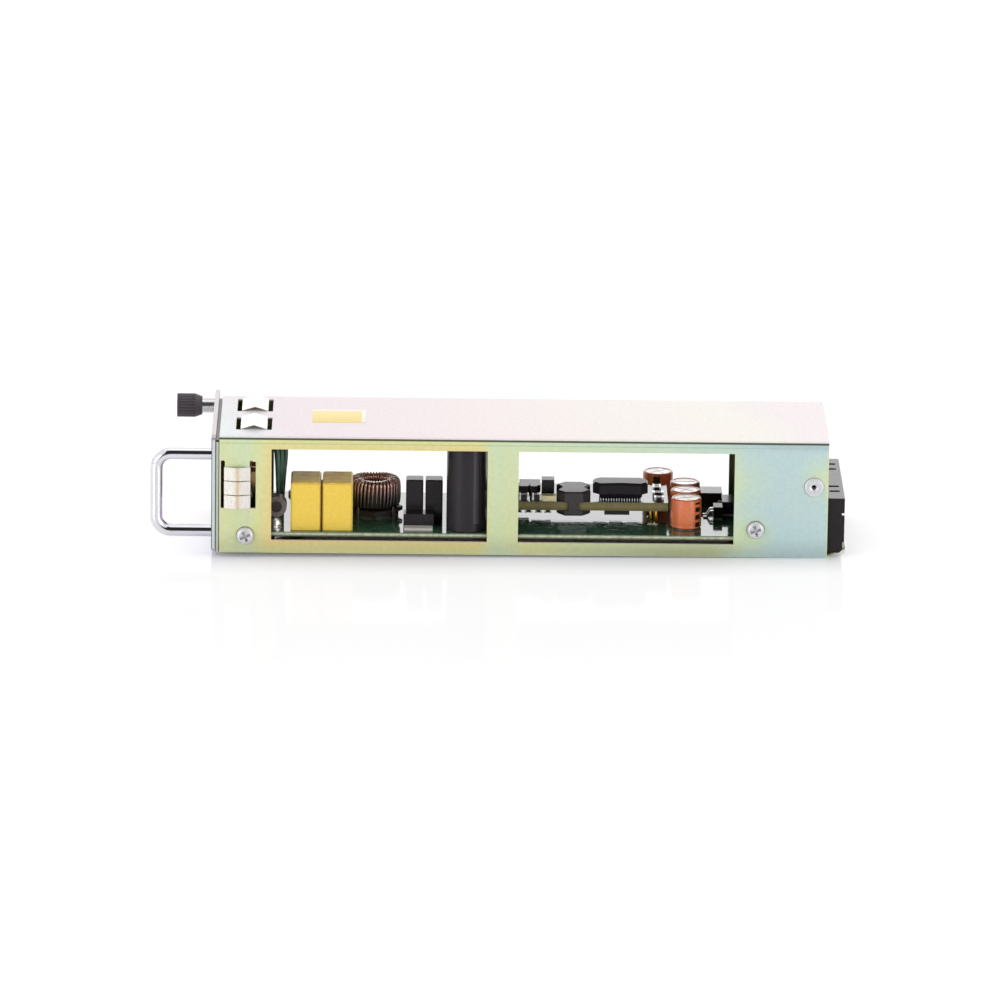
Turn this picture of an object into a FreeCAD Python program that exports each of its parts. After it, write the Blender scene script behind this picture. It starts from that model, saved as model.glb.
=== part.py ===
import FreeCAD, Part
import math
import os

V = FreeCAD.Vector

# Hot swap power module for a server shelf, in millimetres.
# X runs from the front plate's seating face to the rear connector, Y from the near side
# wall to the far one, Z up from the case's underside. X = 0 is the seating face.

# Driving dimensions: case.
case_length = 203.0          # cover, front edge to rear edge
case_width = 54.5
case_height = 40.0
sheet = 1.0                  # cover and tray
bend_inner = 0.2             # inner bend radius of the cover
fold_gap = 0.1               # between a tray flange and the cover around it
tray_front_drop = 1.2        # the tray's front wall stops this far below the top

front_gap = 0.15             # tray's front wall to the cover's front edge
window_front_land = 17.35    # cover's front edge to the first window
window_web = 10.35
window_rear_land = 31.3
window_sill = 4.3            # height of the metal left under and over a window

flange_height = 4.0
front_ear_length = 11.5
front_ear_height = 12.6
rear_ear_length = 30.0
rear_ear_height = 30.0
corner_relief = 2.5          # flanges start this far behind the front wall

tongue_length = 6.5
tongue_corner = 9.5
tongue_lap = 1.0             # over the floor
flange_end_gap = 0.2         # flanges end this far before the cover's rear edge
ear_end_gap = 0.4            # ears end this far before the cover's rear wall

vent_slot_wide = 2.5         # rear vents above the connector
vent_slot_pitch = 5.0
vent_slot_rise = 4.0         # above the connector
vent_slot_drop = 4.5         # below the top
vent_side_margin = 5.0

# Front plate, handle and captive screw.
plate_thick = 1.5
plate_overhang = 8.5         # past the far side wall
plate_drop = 0.2             # above the underside
plate_corner = 1.5

handle_rod = 4.15
handle_reach = 20.5          # plate to the outside of the bow
handle_bend = 5.0            # centreline radius
handle_inset = 4.0           # from the near side wall
handle_low = 6.5
handle_top_drop = 7.0
handle_hole_deep = 7.0       # tapped holes in its ends
handle_screw_reach = 6.0     # screw into the handle
handle_head_r = 2.4
handle_head_h = 1.4
clear_hole = 0.1             # radial clearance of screw holes

screw_inset = 4.5            # axis beyond the far side wall
screw_drop = 4.8             # axis below the top
sleeve_outer = 5.1
sleeve_reach = 5.8           # in front of the plate
sleeve_lip = 0.8
sleeve_wall = 0.4
knob_outer = 8.0
knob_length = 8.5
knob_roof = 2.0
knob_skirt = 2.4             # plain part behind the knurl
knob_skirt_step = 0.9
knob_teeth = 24
knob_groove = 0.28
screw_travel = 4.4           # knob skirt to plate
run_gap = 0.08               # radial clearance of sliding and turning fits
thread_r = 1.5               # M3
neck_r = 1.1
thread_length = 4.0
thread_tip = 0.5
washer_thick = 0.4
spring_wire = 0.4
spring_turns = 4

# Contact fingers.
finger_sheet = 0.2
finger_count = 3
finger_gap = 0.35
finger_bow = 1.6             # crest above the sheet
finger_end_margin = 0.3
finger_edge_gap = 0.05       # finger to the sheet's edge that it grips
finger_hook = 1.2            # strip under the sheet
finger_crest_r = 1.2
slot_corner = 0.6

top_slot_front = 5.25        # cover's front edge to the first slot
top_slot_wide = 1.85
top_slot_span = 8.3          # metal between the two slots
top_group_near = 9.1         # from the near side
top_group_far = 5.1          # from the far side
top_group_gap = 8.1

side_slot_front = 0.5
side_slot_wide = 1.35
side_rear_slot = 2.05
side_slot_span = 8.25
side_slot_low = 15.2
side_slot_high = 31.7
side_strip_length = 14.1
side_strip_rise = 0.1        # strip above the slots' feet

# Fasteners.
pan_head_r = 3.0
pan_head_h = 2.0
screw_point = 1.6            # beyond the flange
front_screw_x = 8.7          # from the cover's front edge
front_screw_z = 5.9
rear_screw_x = 24.0          # from the cover's rear edge
rear_screw_z = 9.6
rivet_x = 4.8                # from the cover's rear edge
rivet_z = 24.5
rivet_flange_r = 3.2
rivet_body_r = 2.0
rivet_hole_r = 0.9
rivet_head_h = 0.8
rivet_tail_h = 0.6           # beyond the ear

# Main board.
board_low = 5.3
board_thick = 1.6
board_edge_gap = 0.5         # to the cover's inner face
board_front = 16.0           # from the plate's seating face
board_ear_gap = 0.5
standoff_across = 5.0        # across the flats
board_screw_head_r = 2.5
board_screw_head_h = 1.8
standoff_gap = 0.6           # a support's flat to the tray's side flange
standoff_x_near = (19.7, 97.0)
standoff_x_far = (26.0, 97.0)
standoff_rear = 17.0         # from the cover's rear edge
board_plug_gap = 0.2         # board to connector

# Parts on the board: x from the seating face, inset from the near side wall.
film_cap = dict(x=24.9, inset=3.8, long=10.1, gap=0.5, deep=16.2, high=16.2, edge=0.6)
choke = dict(x=52.9, inset=24.8, outer=8.8, hole=4.2, wire=1.1, turns=20, low=9.9, high=20.1)
wind_gap = 0.03              # core to winding, radially
wind_corner = 0.6            # chamfer of a turn, in wire widths
wind_half = 0.42             # half a turn's thickness, in wire widths
choke_pad = dict(half=9.4, thick=1.3, foot=1.2, foot_at=7.4, flat=0.62)
transistor = dict(x=62.6, inset=8.5, long=10.1, deep=5.6, high=3.9)
transistor_tab = dict(thick=0.7, reach=3.8, margin=0.3)
box_cap = dict(x=63.4, inset=14.4, long=5.8, gap=0.7, deep=6.2, high=14.8, edge=0.4)
bulk_cap = dict(x=83.7, inset=8.7, r=6.75, top_gap=2.0, shoulder=0.9)
bead = dict(x=20.1, inset=4.0, z=14.8, r=3.5, hole=1.9, long=5.0)
post = dict(x=19.7, r=2.3, disc=0.9, across=3.8)
out_cap = dict(r=5.1, high=10.3, sleeve=0.2, foot=0.25, lip=0.3)
out_cap_near = ((157.3, 12.9), (157.3, 23.2), (157.3, 33.5))
out_cap_far = (148.6, 7.8)
current_box = dict(x=162.8, inset=40.4, long=7.4, deep=8.5, high=4.3)
fuse = dict(x=175.4, inset=12.0, long=6.0, deep=3.0, high=3.0)
regulator_a = dict(x=166.8, inset=23.0, long=3.0, deep=5.6, high=3.8, legs=(1.3, 4.8))
regulator_b = dict(x=169.9, inset=28.7, long=8.4, deep=9.6, high=4.1, legs=(2.7, 7.9))
regulator_leg = dict(wide=1.1, thick=0.5, rise=2.0, reach=3.4, foot=1.1, shoulder=1.1)
regulator_tab = dict(thick=0.3, reach=0.6)

# Converter module.
brick = dict(x=92.8, inset=12.8, long=58.4, deep=23.8, low=12.2, thick=2.9)
core = dict(
    x=119.55, half=5.65, tip=1.7, shoulder=2.6, flank=3.2, deep=14.0, front=0.8,
    rise=3.6, drop=1.8, edge=0.5, leg=1.75, leg_deep=3.2,
)
inductor = dict(
    x=126.0, inset=14.0, long=18.4, deep=9.0, low=17.5, high=21.2, corner=2.2, waist=0.8, edge=0.7,
    stem_front=3.4, stem_back=1.5,
)
driver = dict(x=108.9, inset=19.0, long=4.2, deep=4.6, high=5.9)
pin_r = (0.5, 0.75)
pin_columns = (96.0, 147.2)
pin_inset = 2.2              # from the converter board's sides
pin_first_inset = 5.6        # the near pin of the front column
pin_side_step = 1.9          # from a thick pin to the thin ones
pin_sides = 8
core_slot_gap = 0.1          # around the core's legs
ceramic = dict(x=109.0, inset=0.6, long=4.6, deep=3.4, high=1.8)
chips_top = (                # x, inset from the converter board's near side, long, deep, high
    (93.4, 0.9, 4.4, 3.2, 2.4),
    (98.4, 1.2, 2.2, 1.4, 1.6),
    (101.2, 0.7, 3.3, 3.0, 2.2),
    (105.6, 0.7, 3.2, 3.0, 2.2),
    (93.6, 6.0, 6.0, 5.0, 3.0),
    (101.0, 6.4, 6.4, 4.6, 3.6),
    (94.2, 14.0, 5.2, 7.4, 2.6),
    (101.6, 13.6, 7.0, 8.0, 2.0),
    (128.6, 12.0, 6.0, 5.0, 1.6),
    (136.6, 12.4, 6.2, 4.6, 1.4),
    (146.6, 2.0, 3.2, 2.6, 1.3),
    (146.2, 7.4, 3.6, 3.0, 1.5),
    (146.4, 13.0, 2.6, 4.6, 1.8),
)
chips_row = dict(x=128.6, pitch=1.75, count=8, inset=0.9, long=1.0, deep=1.5, high=1.1)
chips_under = (              # x, long, high
    (99.9, 2.4, 1.2),
    (103.3, 2.3, 1.2),
    (106.7, 2.2, 1.2),
    (109.8, 2.3, 1.2),
    (129.9, 8.4, 1.7),
)
chips_under_inset = 1.0
chips_under_deep = 2.6

# Inlet at the front.
inlet = dict(
    inset=24.0, z=20.0, wide=26.0, high=15.0, wall=1.4, depth=11.4,
    rim=2.0, rim_thick=1.5, back=2.0, step=0.1,
)
inlet_blade = dict(wide=0.8, high=6.3, pitch=7.0, reach=7.5, tail=2.0)
lead_r = 0.9
lead = dict(
    top_gap=0.8, run=3.4, lean=2.4, foot_inset=10.4, foot_pitch=2.3, foot_x=21.0, foot_step=0.35,
    top_x=20.0, top_pitch=1.9, waist=17.0,
)
led_r = 1.5
led_inset = 43.5
led_z = 8.5
led_reach = 2.0              # behind the tray's front wall
led_flange_r = 2.0
led_flange = 0.8
vent = dict(count=4, wide=2.2, pitch=4.4, long=9.5, low=14.0)
vent_window_margin = 0.8     # opening in the tray around the vents

# Rear connector.
plug_reach = 5.7             # past the cover's rear edge
plug_side_gap = 1.6          # body to the outer face of the side walls
plug_low = 1.5
plug_high = 20.3
plug_neck_gap = 2.5          # part inside the case to the outer face of the side walls
plug_neck_start = 14.0       # in front of the cover's rear edge
plug_lap = 6.0               # over the board's end
plug_blade_insets = (10.9, 17.2)
plug_blade_far = (8.6, 15.0)
plug_slot_wide = 1.9
plug_slot_high = 13.6
plug_slot_deep = 12.0
plug_nose = 1.6
plug_neck_drop = 0.8         # neck below the head's top
plug_edge_gap = 0.2          # head to the cover's rear edge
plug_hood = 1.5              # walls around the mating face
plug_hood_deep = 1.0
plug_step = dict(back=0.6, high=5.2)
plug_notch = dict(z=14.7, high=0.9, deep=0.9)
plug_top_slot = dict(front=0.7, rear=1.4)
blade_thick = 0.8
blade_margin = 0.6
blade_back = 1.5             # behind the mating face
signal_deep = 8.0
signal_back = 2.0
signal_margin = 0.8
signal_columns = 4
signal_rows = 5
signal_pitch = 2.4
signal_pin = 0.64

# Blank label on the top.
label_x = 31.8
label_inset = 19.5
label_long = 17.9
label_wide = 16.6
label_thick = 0.1

# Worked out from the above.
near = -case_width / 2
far = case_width / 2
bend_outer = bend_inner + sheet
cover_front = sheet + front_gap
cover_rear = cover_front + case_length
inner_near = near + sheet
inner_far = far - sheet
flange_out = inner_far - fold_gap
flange_in = flange_out - sheet
standoff_y = flange_in - standoff_gap - standoff_across / 2
board_top = board_low + board_thick
window_length = (case_length - window_front_land - window_web - window_rear_land) / 2
window_starts = (
    cover_front + window_front_land,
    cover_front + window_front_land + window_length + window_web,
)
rear_ear_x = cover_rear - rear_ear_length
screw_y = far + screw_inset
screw_z = case_height - screw_drop
knob_rear = -plate_thick - screw_travel
knob_front = knob_rear - knob_length
sleeve_front = -plate_thick - sleeve_reach
top_group_long = (case_width - top_group_near - top_group_far - top_group_gap) / 2
top_groups = (near + top_group_near, far - top_group_far - top_group_long)
screw_places = (
    (cover_front + front_screw_x, front_screw_z),
    (cover_rear - rear_screw_x, rear_screw_z),
)
rivet_place = (cover_rear - rivet_x, rivet_z)
inlet_y = near + inlet["inset"]
plug_front_x = cover_rear - plug_neck_start
plug_body_x = plug_front_x + plug_lap
plug_end = cover_rear + plug_reach
board_rear = plug_body_x - board_plug_gap
plug_half = case_width / 2 - plug_side_gap
plug_neck_half = case_width / 2 - plug_neck_gap


# Small helpers.
def box(x0, x1, y0, y1, z0, z1):
    return Part.makeBox(x1 - x0, y1 - y0, z1 - z0, V(x0, y0, z0))


def block(spec, low):
    """Box of a part that stands at its own x and inset, from height low."""
    y = near + spec["inset"]
    return box(spec["x"], spec["x"] + spec["long"], y, y + spec["deep"], low, low + spec["high"])


def rod(r, start, end):
    run = end - start
    return Part.makeCylinder(r, run.Length, start, run)


def prism(points, run):
    """Solid between an outline of points and the same outline moved by run."""
    wire = Part.makePolygon(list(points) + [points[0]])
    return Part.Face(wire).extrude(run)


def turned(profile, centre, axis):
    """Solid of revolution: profile is (distance along the axis, radius) pairs."""
    wire = Part.makePolygon([V(a, r, 0) for a, r in profile + profile[:1]])
    solid = Part.Face(wire).revolve(V(0, 0, 0), V(1, 0, 0), 360)
    solid.Placement = FreeCAD.Placement(centre, FreeCAD.Rotation(V(1, 0, 0), axis))
    return solid


def fuse_all(shapes):
    return shapes[0].multiFuse(shapes[1:]).removeSplitter() if len(shapes) > 1 else shapes[0]


def cut_all(shape, tools):
    return shape.cut(tools) if tools else shape


def edges_where(shape, test):
    return [e for e in shape.Edges if test(e.BoundBox)]


def bent_rod(points, section, bends):
    """Bar of the given section face through points, its bends tangent arcs of the given radii.

    The face stands at the first point, square to the first run, and is carried along.
    """
    pieces = []
    last = points[0]
    for i, bend in enumerate(bends, 1):
        a = (points[i - 1] - points[i]).normalize()
        b = (points[i + 1] - points[i]).normalize()
        half = a.getAngle(b) / 2
        start = points[i] + a * (bend / math.tan(half))
        pieces.append(section.extrude(start - last))
        section.translate(start - last)
        centre = points[i] + (a + b).normalize() * (bend / math.sin(half))
        turn = 180 - math.degrees(2 * half)
        pieces.append(section.revolve(centre, b.cross(a), turn))
        section.rotate(centre, b.cross(a), turn)
        last = points[i] + b * (bend / math.tan(half))
    pieces.append(section.extrude(points[-1] - last))
    return fuse_all(pieces)


def many_sided(r, centre, axis, sides):
    """Face with the outline of a regular polygon of the given circumradius."""
    turn = FreeCAD.Rotation(V(0, 0, 1), axis)
    angles = [2 * math.pi * (i + 0.5) / sides for i in range(sides)]
    corners = [centre + turn.multVec(V(math.cos(t) * r, math.sin(t) * r, 0)) for t in angles]
    return Part.Face(Part.makePolygon(corners + corners[:1]))


def hex_post(across, start, end):
    return many_sided(across / math.sqrt(3), start, end - start, 6).extrude(end - start)


def mirrored(shape):
    """The same piece on the far side wall."""
    return shape.mirror(V(0, 0, 0), V(0, 1, 0))


# Folded sheet.
def stadium_cut(x0, x1, low, high):
    """Slot through both side walls, square at its foot and rounded at its head."""
    body = box(x0, x1, near - 1, far + 1, low, high)
    head = edges_where(body, lambda b: b.ZMin > high - 1e-6 and b.XLength < 1e-6)
    return body.makeFillet(min(slot_corner, (x1 - x0) * 0.45), head)


def top_slots(z_low, z_high):
    """The two slots of each group of fingers, cut through a flat sheet."""
    cuts = []
    for start in top_groups:
        x = cover_front + top_slot_front
        for slot in (x, x + top_slot_wide + top_slot_span):
            y = start + top_group_long
            cuts.append(box(slot, slot + top_slot_wide, start, y, z_low, z_high))
    return cuts


def make_cover():
    outer = box(cover_front, cover_rear, near, far, 0, case_height)
    upper = edges_where(outer, lambda b: b.ZMin > case_height - 1e-6 and b.YLength < 1e-6)
    outer = outer.makeFillet(bend_outer, upper)
    hollow = box(cover_front - 1, cover_rear - sheet, inner_near, inner_far, -1, case_height - sheet)
    upper = edges_where(hollow, lambda b: b.ZMin > case_height - sheet - 1e-6 and b.YLength < 1e-6)
    hollow = hollow.makeFillet(bend_inner, upper)
    rear_mouth = box(cover_rear - 2 * sheet, cover_rear + 1, inner_near, inner_far, -1, plug_high + sheet)
    cuts = [hollow, rear_mouth]
    for x in window_starts:
        high = case_height - window_sill
        cuts.append(box(x, x + window_length, near - 1, far + 1, window_sill, high))
    cuts += top_slots(case_height - sheet - 1, case_height + 1)
    x = cover_front + side_slot_front
    cuts.append(stadium_cut(x, x + side_slot_wide, side_slot_low, side_slot_high))
    x += side_slot_wide + side_slot_span
    cuts.append(stadium_cut(x, x + side_rear_slot, side_slot_low, side_slot_high))
    for x, z in screw_places:
        cuts.append(rod(thread_r + clear_hole, V(x, near - 1, z), V(x, far + 1, z)))
    x, z = rivet_place
    cuts.append(rod(rivet_body_r, V(x, near - 1, z), V(x, far + 1, z)))
    cuts += rear_vents()
    return cut_all(outer, cuts)


def rear_vents():
    """Upright slots in the part of the cover that closes the case above the connector."""
    low = plug_high + vent_slot_rise
    high = case_height - vent_slot_drop
    count = int((case_width - 2 * vent_side_margin) / vent_slot_pitch)
    start = -(count - 1) * vent_slot_pitch / 2 - vent_slot_wide / 2
    slots = []
    for i in range(count):
        y = start + i * vent_slot_pitch
        slots.append(box(cover_rear - 2 * sheet, cover_rear + 1, y, y + vent_slot_wide, low, high))
    return slots


def make_tray():
    floor = box(0, cover_rear, -flange_out, flange_out, 0, sheet)
    front = box(0, sheet, near, far, 0, case_height - tray_front_drop)
    tongue = prism(
        [
            V(cover_rear - tongue_lap, -flange_out, 0),
            V(cover_rear, -flange_out, 0),
            V(cover_rear + tongue_length, -flange_out + tongue_corner, 0),
            V(cover_rear + tongue_length, flange_out - tongue_corner, 0),
            V(cover_rear, flange_out, 0),
            V(cover_rear - tongue_lap, flange_out, 0),
        ],
        V(0, 0, sheet),
    )
    pieces = [floor, front, tongue]
    start = sheet + corner_relief
    for x0, x1, high in (
        (start, cover_rear - flange_end_gap, flange_height),
        (start, start + front_ear_length, front_ear_height),
        (rear_ear_x, cover_rear - sheet - ear_end_gap, rear_ear_height),
    ):
        wall = box(x0, x1, -flange_out, -flange_in, 0, high)
        pieces += [wall, mirrored(wall)]
    cuts = top_slots(-1, sheet + 1)
    for x, z in screw_places:
        cuts.append(rod(thread_r, V(x, near - 1, z), V(x, far + 1, z)))
    x, z = rivet_place
    cuts.append(rod(rivet_body_r, V(x, near - 1, z), V(x, far + 1, z)))
    y0, y1, z0, z1 = vent_field()
    margin = vent_window_margin
    cuts.append(box(-1, sheet + 1, y0 - margin, y1 + margin, z0 - margin, z1 + margin))
    cuts += front_openings()
    return cut_all(fuse_all(pieces), cuts)


def handle_places():
    return [V(-plate_thick, near + handle_inset, z) for z in (handle_low, case_height - handle_top_drop)]


def front_openings():
    """Holes that the tray's front wall and the front plate have in common."""
    through = V(plate_thick + sheet, 0, 0)
    cuts = [rod(thread_r + clear_hole, p, p + through) for p in handle_places()]
    half = inlet["wide"] / 2
    rise = inlet["high"] / 2
    z = inlet["z"]
    cuts.append(box(-plate_thick, sheet, inlet_y - half, inlet_y + half, z - rise, z + rise))
    led = V(-plate_thick, near + led_inset, led_z)
    cuts.append(rod(led_r + run_gap, led, led + through))
    return cuts


def vent_field():
    """Lowest and highest Y and Z of the front plate's vents."""
    middle = near + led_inset
    half = vent["long"] / 2
    top = vent["low"] + (vent["count"] - 1) * vent["pitch"] + vent["wide"]
    return middle - half, middle + half, vent["low"], top


def front_vents():
    y0, y1, z0, z1 = vent_field()
    slots = []
    for i in range(vent["count"]):
        z = z0 + i * vent["pitch"]
        slots.append(box(-plate_thick - 1, 1, y0, y1, z, z + vent["wide"]))
    return slots


def make_front_plate():
    body = box(-plate_thick, 0, near, far + plate_overhang, plate_drop, case_height)
    corners = edges_where(body, lambda b: b.XLength > plate_thick - 1e-6)
    body = body.makeFillet(plate_corner, corners)
    axis = V(-plate_thick, screw_y, screw_z)
    sleeve_hole = rod(sleeve_outer / 2, axis, axis + V(plate_thick, 0, 0))
    return cut_all(body, front_openings() + front_vents() + [sleeve_hole])


# Handle.
def make_handle():
    low, high = handle_places()
    out = V(-handle_reach + handle_rod / 2, 0, 0)
    section = Part.Face(Part.Wire([Part.makeCircle(handle_rod / 2, low, out)]))
    bow = bent_rod([low, low + out, high + out, high], section, [handle_bend, handle_bend])
    return cut_all(bow, [rod(thread_r, p, p + V(-handle_hole_deep, 0, 0)) for p in (low, high)])


def make_handle_screws():
    screws = []
    for p in handle_places():
        seat = V(sheet, p.y, p.z)
        shank = rod(thread_r, p - V(handle_screw_reach, 0, 0), seat)
        head = rod(handle_head_r, seat, seat + V(handle_head_h, 0, 0))
        screws.append(fuse_all([shank, head]))
    return Part.makeCompound(screws)


# Captive screw.
def on_screw_axis(profile):
    return turned(profile, V(0, screw_y, screw_z), V(1, 0, 0))


def make_sleeve():
    outer = sleeve_outer / 2
    bore = outer - sleeve_wall
    lip = neck_r + run_gap
    return on_screw_axis(
        [
            (sleeve_front, outer),
            (sleeve_front, bore),
            (-sleeve_lip, bore),
            (-sleeve_lip, lip),
            (0, lip),
            (0, outer),
        ]
    )


def make_knob():
    outer = knob_outer / 2
    cavity = sleeve_outer / 2 + run_gap
    roof = knob_front + knob_roof
    skirt = knob_rear - knob_skirt
    body = on_screw_axis(
        [
            (knob_front, neck_r),
            (knob_front, outer),
            (skirt, outer),
            (knob_rear, outer - knob_skirt_step),
            (knob_rear, cavity),
            (roof, cavity),
            (roof, neck_r),
        ]
    )
    grooves = []
    for i in range(knob_teeth):
        turn = 360.0 * i / knob_teeth
        half = knob_groove
        groove = box(knob_front - 1, skirt, -half, half, -half, half)
        groove.rotate(V(0, 0, 0), V(1, 0, 0), turn + 45)
        rim = FreeCAD.Rotation(V(1, 0, 0), turn).multVec(V(0, outer, 0))
        groove.translate(V(0, screw_y, screw_z) + rim)
        grooves.append(groove)
    return cut_all(body, grooves)


def make_screw():
    end = run_gap + thread_length
    return on_screw_axis(
        [
            (knob_front, 0),
            (knob_front, neck_r),
            (run_gap, neck_r),
            (run_gap, thread_r),
            (end - thread_tip, thread_r),
            (end, thread_r - thread_tip),
            (end, 0),
        ]
    )


def make_thrust_washer():
    roof = knob_front + knob_roof
    outer = sleeve_outer / 2 - sleeve_wall - run_gap
    inner = neck_r + run_gap
    return on_screw_axis(
        [(roof, inner), (roof, outer), (roof + washer_thick, outer), (roof + washer_thick, inner)]
    )


def make_spring():
    mean = (neck_r + sleeve_outer / 2 - sleeve_wall) / 2
    start = knob_front + knob_roof + washer_thick + spring_wire / 2
    end = -sleeve_lip - spring_wire / 2
    helix = Part.makeHelix((end - start) / spring_turns, end - start, mean)
    half = spring_wire / 2
    section = [V(mean + half, 0, 0), V(mean, 0, half), V(mean - half, 0, 0), V(mean, 0, -half)]
    ring = Part.makePolygon(section + section[:1])
    coil = Part.Wire(helix).makePipeShell([ring], True, True)
    coil.Placement = FreeCAD.Placement(V(start, screw_y, screw_z), FreeCAD.Rotation(V(0, 0, 1), V(1, 0, 0)))
    return coil


# Contact fingers.
def finger_strip(start, span, length):
    """Spring fingers that grip the metal between two slots of a sheet whose outer face is z = 0.

    The metal runs along X from start over the given span. The strip hooks under both of its
    ends, and between the slots its fingers bow out to a rounded crest. Its width runs along Y.
    """
    def profile(gap, depth, crest):
        x0 = start - gap
        x1 = start + span + gap
        hook0 = start + finger_hook
        hook1 = start + span - finger_hook
        middle = start + span / 2
        return [V(x, 0, z) for x, z in (
            (hook0, depth), (x0, depth), (x0, gap), (middle, crest), (x1, gap), (x1, depth), (hook1, depth),
        )]

    inner = profile(finger_edge_gap, -sheet, finger_bow - finger_sheet)
    outer = profile(finger_edge_gap + finger_sheet, -sheet - finger_sheet, finger_bow)
    strip = prism(inner + outer[::-1], V(0, length, 0))
    crests = edges_where(strip, lambda b: b.YLength > length / 2 and b.ZMin > finger_bow / 2)
    strip = strip.makeFillet(finger_crest_r, crests)
    pitch = (length + finger_gap) / finger_count
    cuts = []
    for i in range(1, finger_count):
        y = i * pitch - finger_gap
        cuts.append(box(start - 1, start + span + 1, y, y + finger_gap, -sheet, finger_bow + 1))
    return cut_all(strip, cuts)


def make_flat_fingers(start, underneath):
    length = top_group_long - 2 * finger_end_margin
    strip = finger_strip(cover_front + top_slot_front + top_slot_wide, top_slot_span, length)
    if underneath:
        strip.rotate(V(0, 0, 0), V(1, 0, 0), 180)
        strip.translate(V(0, start + finger_end_margin + length, 0))
    else:
        strip.translate(V(0, start + finger_end_margin, case_height))
    return strip


def make_side_fingers():
    strip = finger_strip(cover_front + side_slot_front + side_slot_wide, side_slot_span, side_strip_length)
    strip.rotate(V(0, 0, 0), V(1, 0, 0), 90)
    strip.translate(V(0, near, side_slot_low + side_strip_rise))
    return strip


# Fasteners in the side walls.
def make_cover_screws():
    screws = []
    for x, z in screw_places:
        seat = V(x, near, z)
        head = rod(pan_head_r, seat, seat - V(0, pan_head_h, 0))
        shank = rod(thread_r, seat, seat + V(0, 2 * sheet + fold_gap + screw_point, 0))
        screw = fuse_all([head, shank])
        screws += [screw, mirrored(screw)]
    return Part.makeCompound(screws)


def make_rear_rivets():
    """Hollow rivets through the cover's sides and the tray's ears."""
    x, z = rivet_place
    end = -2 * sheet - fold_gap - rivet_tail_h
    rivet = turned(
        [
            (rivet_head_h, rivet_hole_r),
            (rivet_head_h, rivet_flange_r),
            (0, rivet_flange_r),
            (0, rivet_body_r),
            (end, rivet_body_r),
            (end, rivet_hole_r),
        ],
        V(x, near, z),
        V(0, -1, 0),
    )
    return Part.makeCompound([rivet, mirrored(rivet)])


# Main board and its supports.
def support_places():
    rear = (cover_rear - standoff_rear,)
    places = [V(x, -standoff_y, 0) for x in standoff_x_near + rear]
    return places + [V(x, standoff_y, 0) for x in standoff_x_far + rear]


def make_main_board():
    edge = inner_far - board_edge_gap
    board = box(board_front, board_rear, -edge, edge, board_low, board_top)
    ear = box(rear_ear_x - 1, board_rear + 1, -edge - 1, -flange_in + board_ear_gap, board_low, board_top)
    return cut_all(board, [ear, mirrored(ear)])


def make_standoffs():
    posts = []
    for p in support_places():
        posts.append(hex_post(standoff_across, p + V(0, 0, sheet), p + V(0, 0, board_low)))
    return Part.makeCompound(posts)


def make_board_screws():
    """Screw heads on the board; the first support carries the terminal post instead."""
    heads = []
    for p in support_places()[1:]:
        seat = p + V(0, 0, board_top)
        heads.append(rod(board_screw_head_r, seat, seat + V(0, 0, board_screw_head_h)))
    return Part.makeCompound(heads)


# Input side.
def make_inlet():
    half = inlet["wide"] / 2
    rise = inlet["high"] / 2
    rim = inlet["rim"]
    wall = inlet["wall"]
    y0, y1 = inlet_y - half, inlet_y + half
    z0, z1 = inlet["z"] - rise, inlet["z"] + rise
    front = inlet["step"] - plate_thick
    back = inlet["depth"]
    body = box(front, back, y0, y1, z0, z1)
    flange = box(sheet, sheet + inlet["rim_thick"], y0 - rim, y1 + rim, z0 - rim, z1 + rim)
    mouth = box(front - 1, back - inlet["back"], y0 + wall, y1 - wall, z0 + wall, z1 - wall)
    slots = [blade_box(y, front, back + 1) for y in inlet_blade_rows()]
    return cut_all(fuse_all([body, flange]), [mouth] + slots)


def inlet_blade_rows():
    return [inlet_y + (i - 1) * inlet_blade["pitch"] for i in range(3)]


def blade_box(y, x0, x1):
    half = inlet_blade["wide"] / 2
    rise = inlet_blade["high"] / 2
    return box(x0, x1, y - half, y + half, inlet["z"] - rise, inlet["z"] + rise)


def make_inlet_blades():
    tail = inlet["depth"] + inlet_blade["tail"]
    return Part.makeCompound(
        [blade_box(y, inlet["depth"] - inlet_blade["reach"], tail) for y in inlet_blade_rows()]
    )


def make_leads():
    """Three insulated leads from the inlet, up over the top and down to the board."""
    leads = []
    tail = inlet["depth"] + inlet_blade["tail"]
    ceiling = case_height - sheet - lead_r - lead["top_gap"]
    for i, y_tab in enumerate(inlet_blade_rows()):
        y_foot = near + lead["foot_inset"] + i * lead["foot_pitch"]
        x_top = lead["top_x"] + i * lead["top_pitch"]
        x_foot = lead["foot_x"] + i * lead["foot_step"]
        points = [
            V(tail, y_tab, inlet["z"]),
            V(tail + lead["run"], y_tab, inlet["z"]),
            V(tail + lead["lean"], (y_foot * 2 + y_tab) / 3, ceiling),
            V(x_top, y_foot, ceiling),
            V(x_foot, y_foot, lead["waist"]),
            V(x_foot, y_foot, board_top),
        ]
        section = many_sided(lead_r, points[0], points[1] - points[0], 8)
        route = Part.Wire(Part.makePolygon(points))
        leads.append(route.makePipeShell([section.OuterWire], True, False, 1))
    return Part.makeCompound(leads)


def make_bead():
    foot = V(bead["x"], near + bead["inset"], bead["z"])
    run = V(0, bead["long"], 0)
    return rod(bead["r"], foot, foot + run).cut(rod(bead["hole"], foot, foot + run))


def make_post():
    """Terminal post: a washer and a nut on a board screw, under the bead."""
    foot = V(post["x"], -standoff_y, board_top)
    shoulder = foot + V(0, 0, post["disc"])
    top = V(foot.x, foot.y, bead["z"] - bead["r"])
    return fuse_all([rod(post["r"], foot, shoulder), hex_post(post["across"], shoulder, top)])


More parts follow.
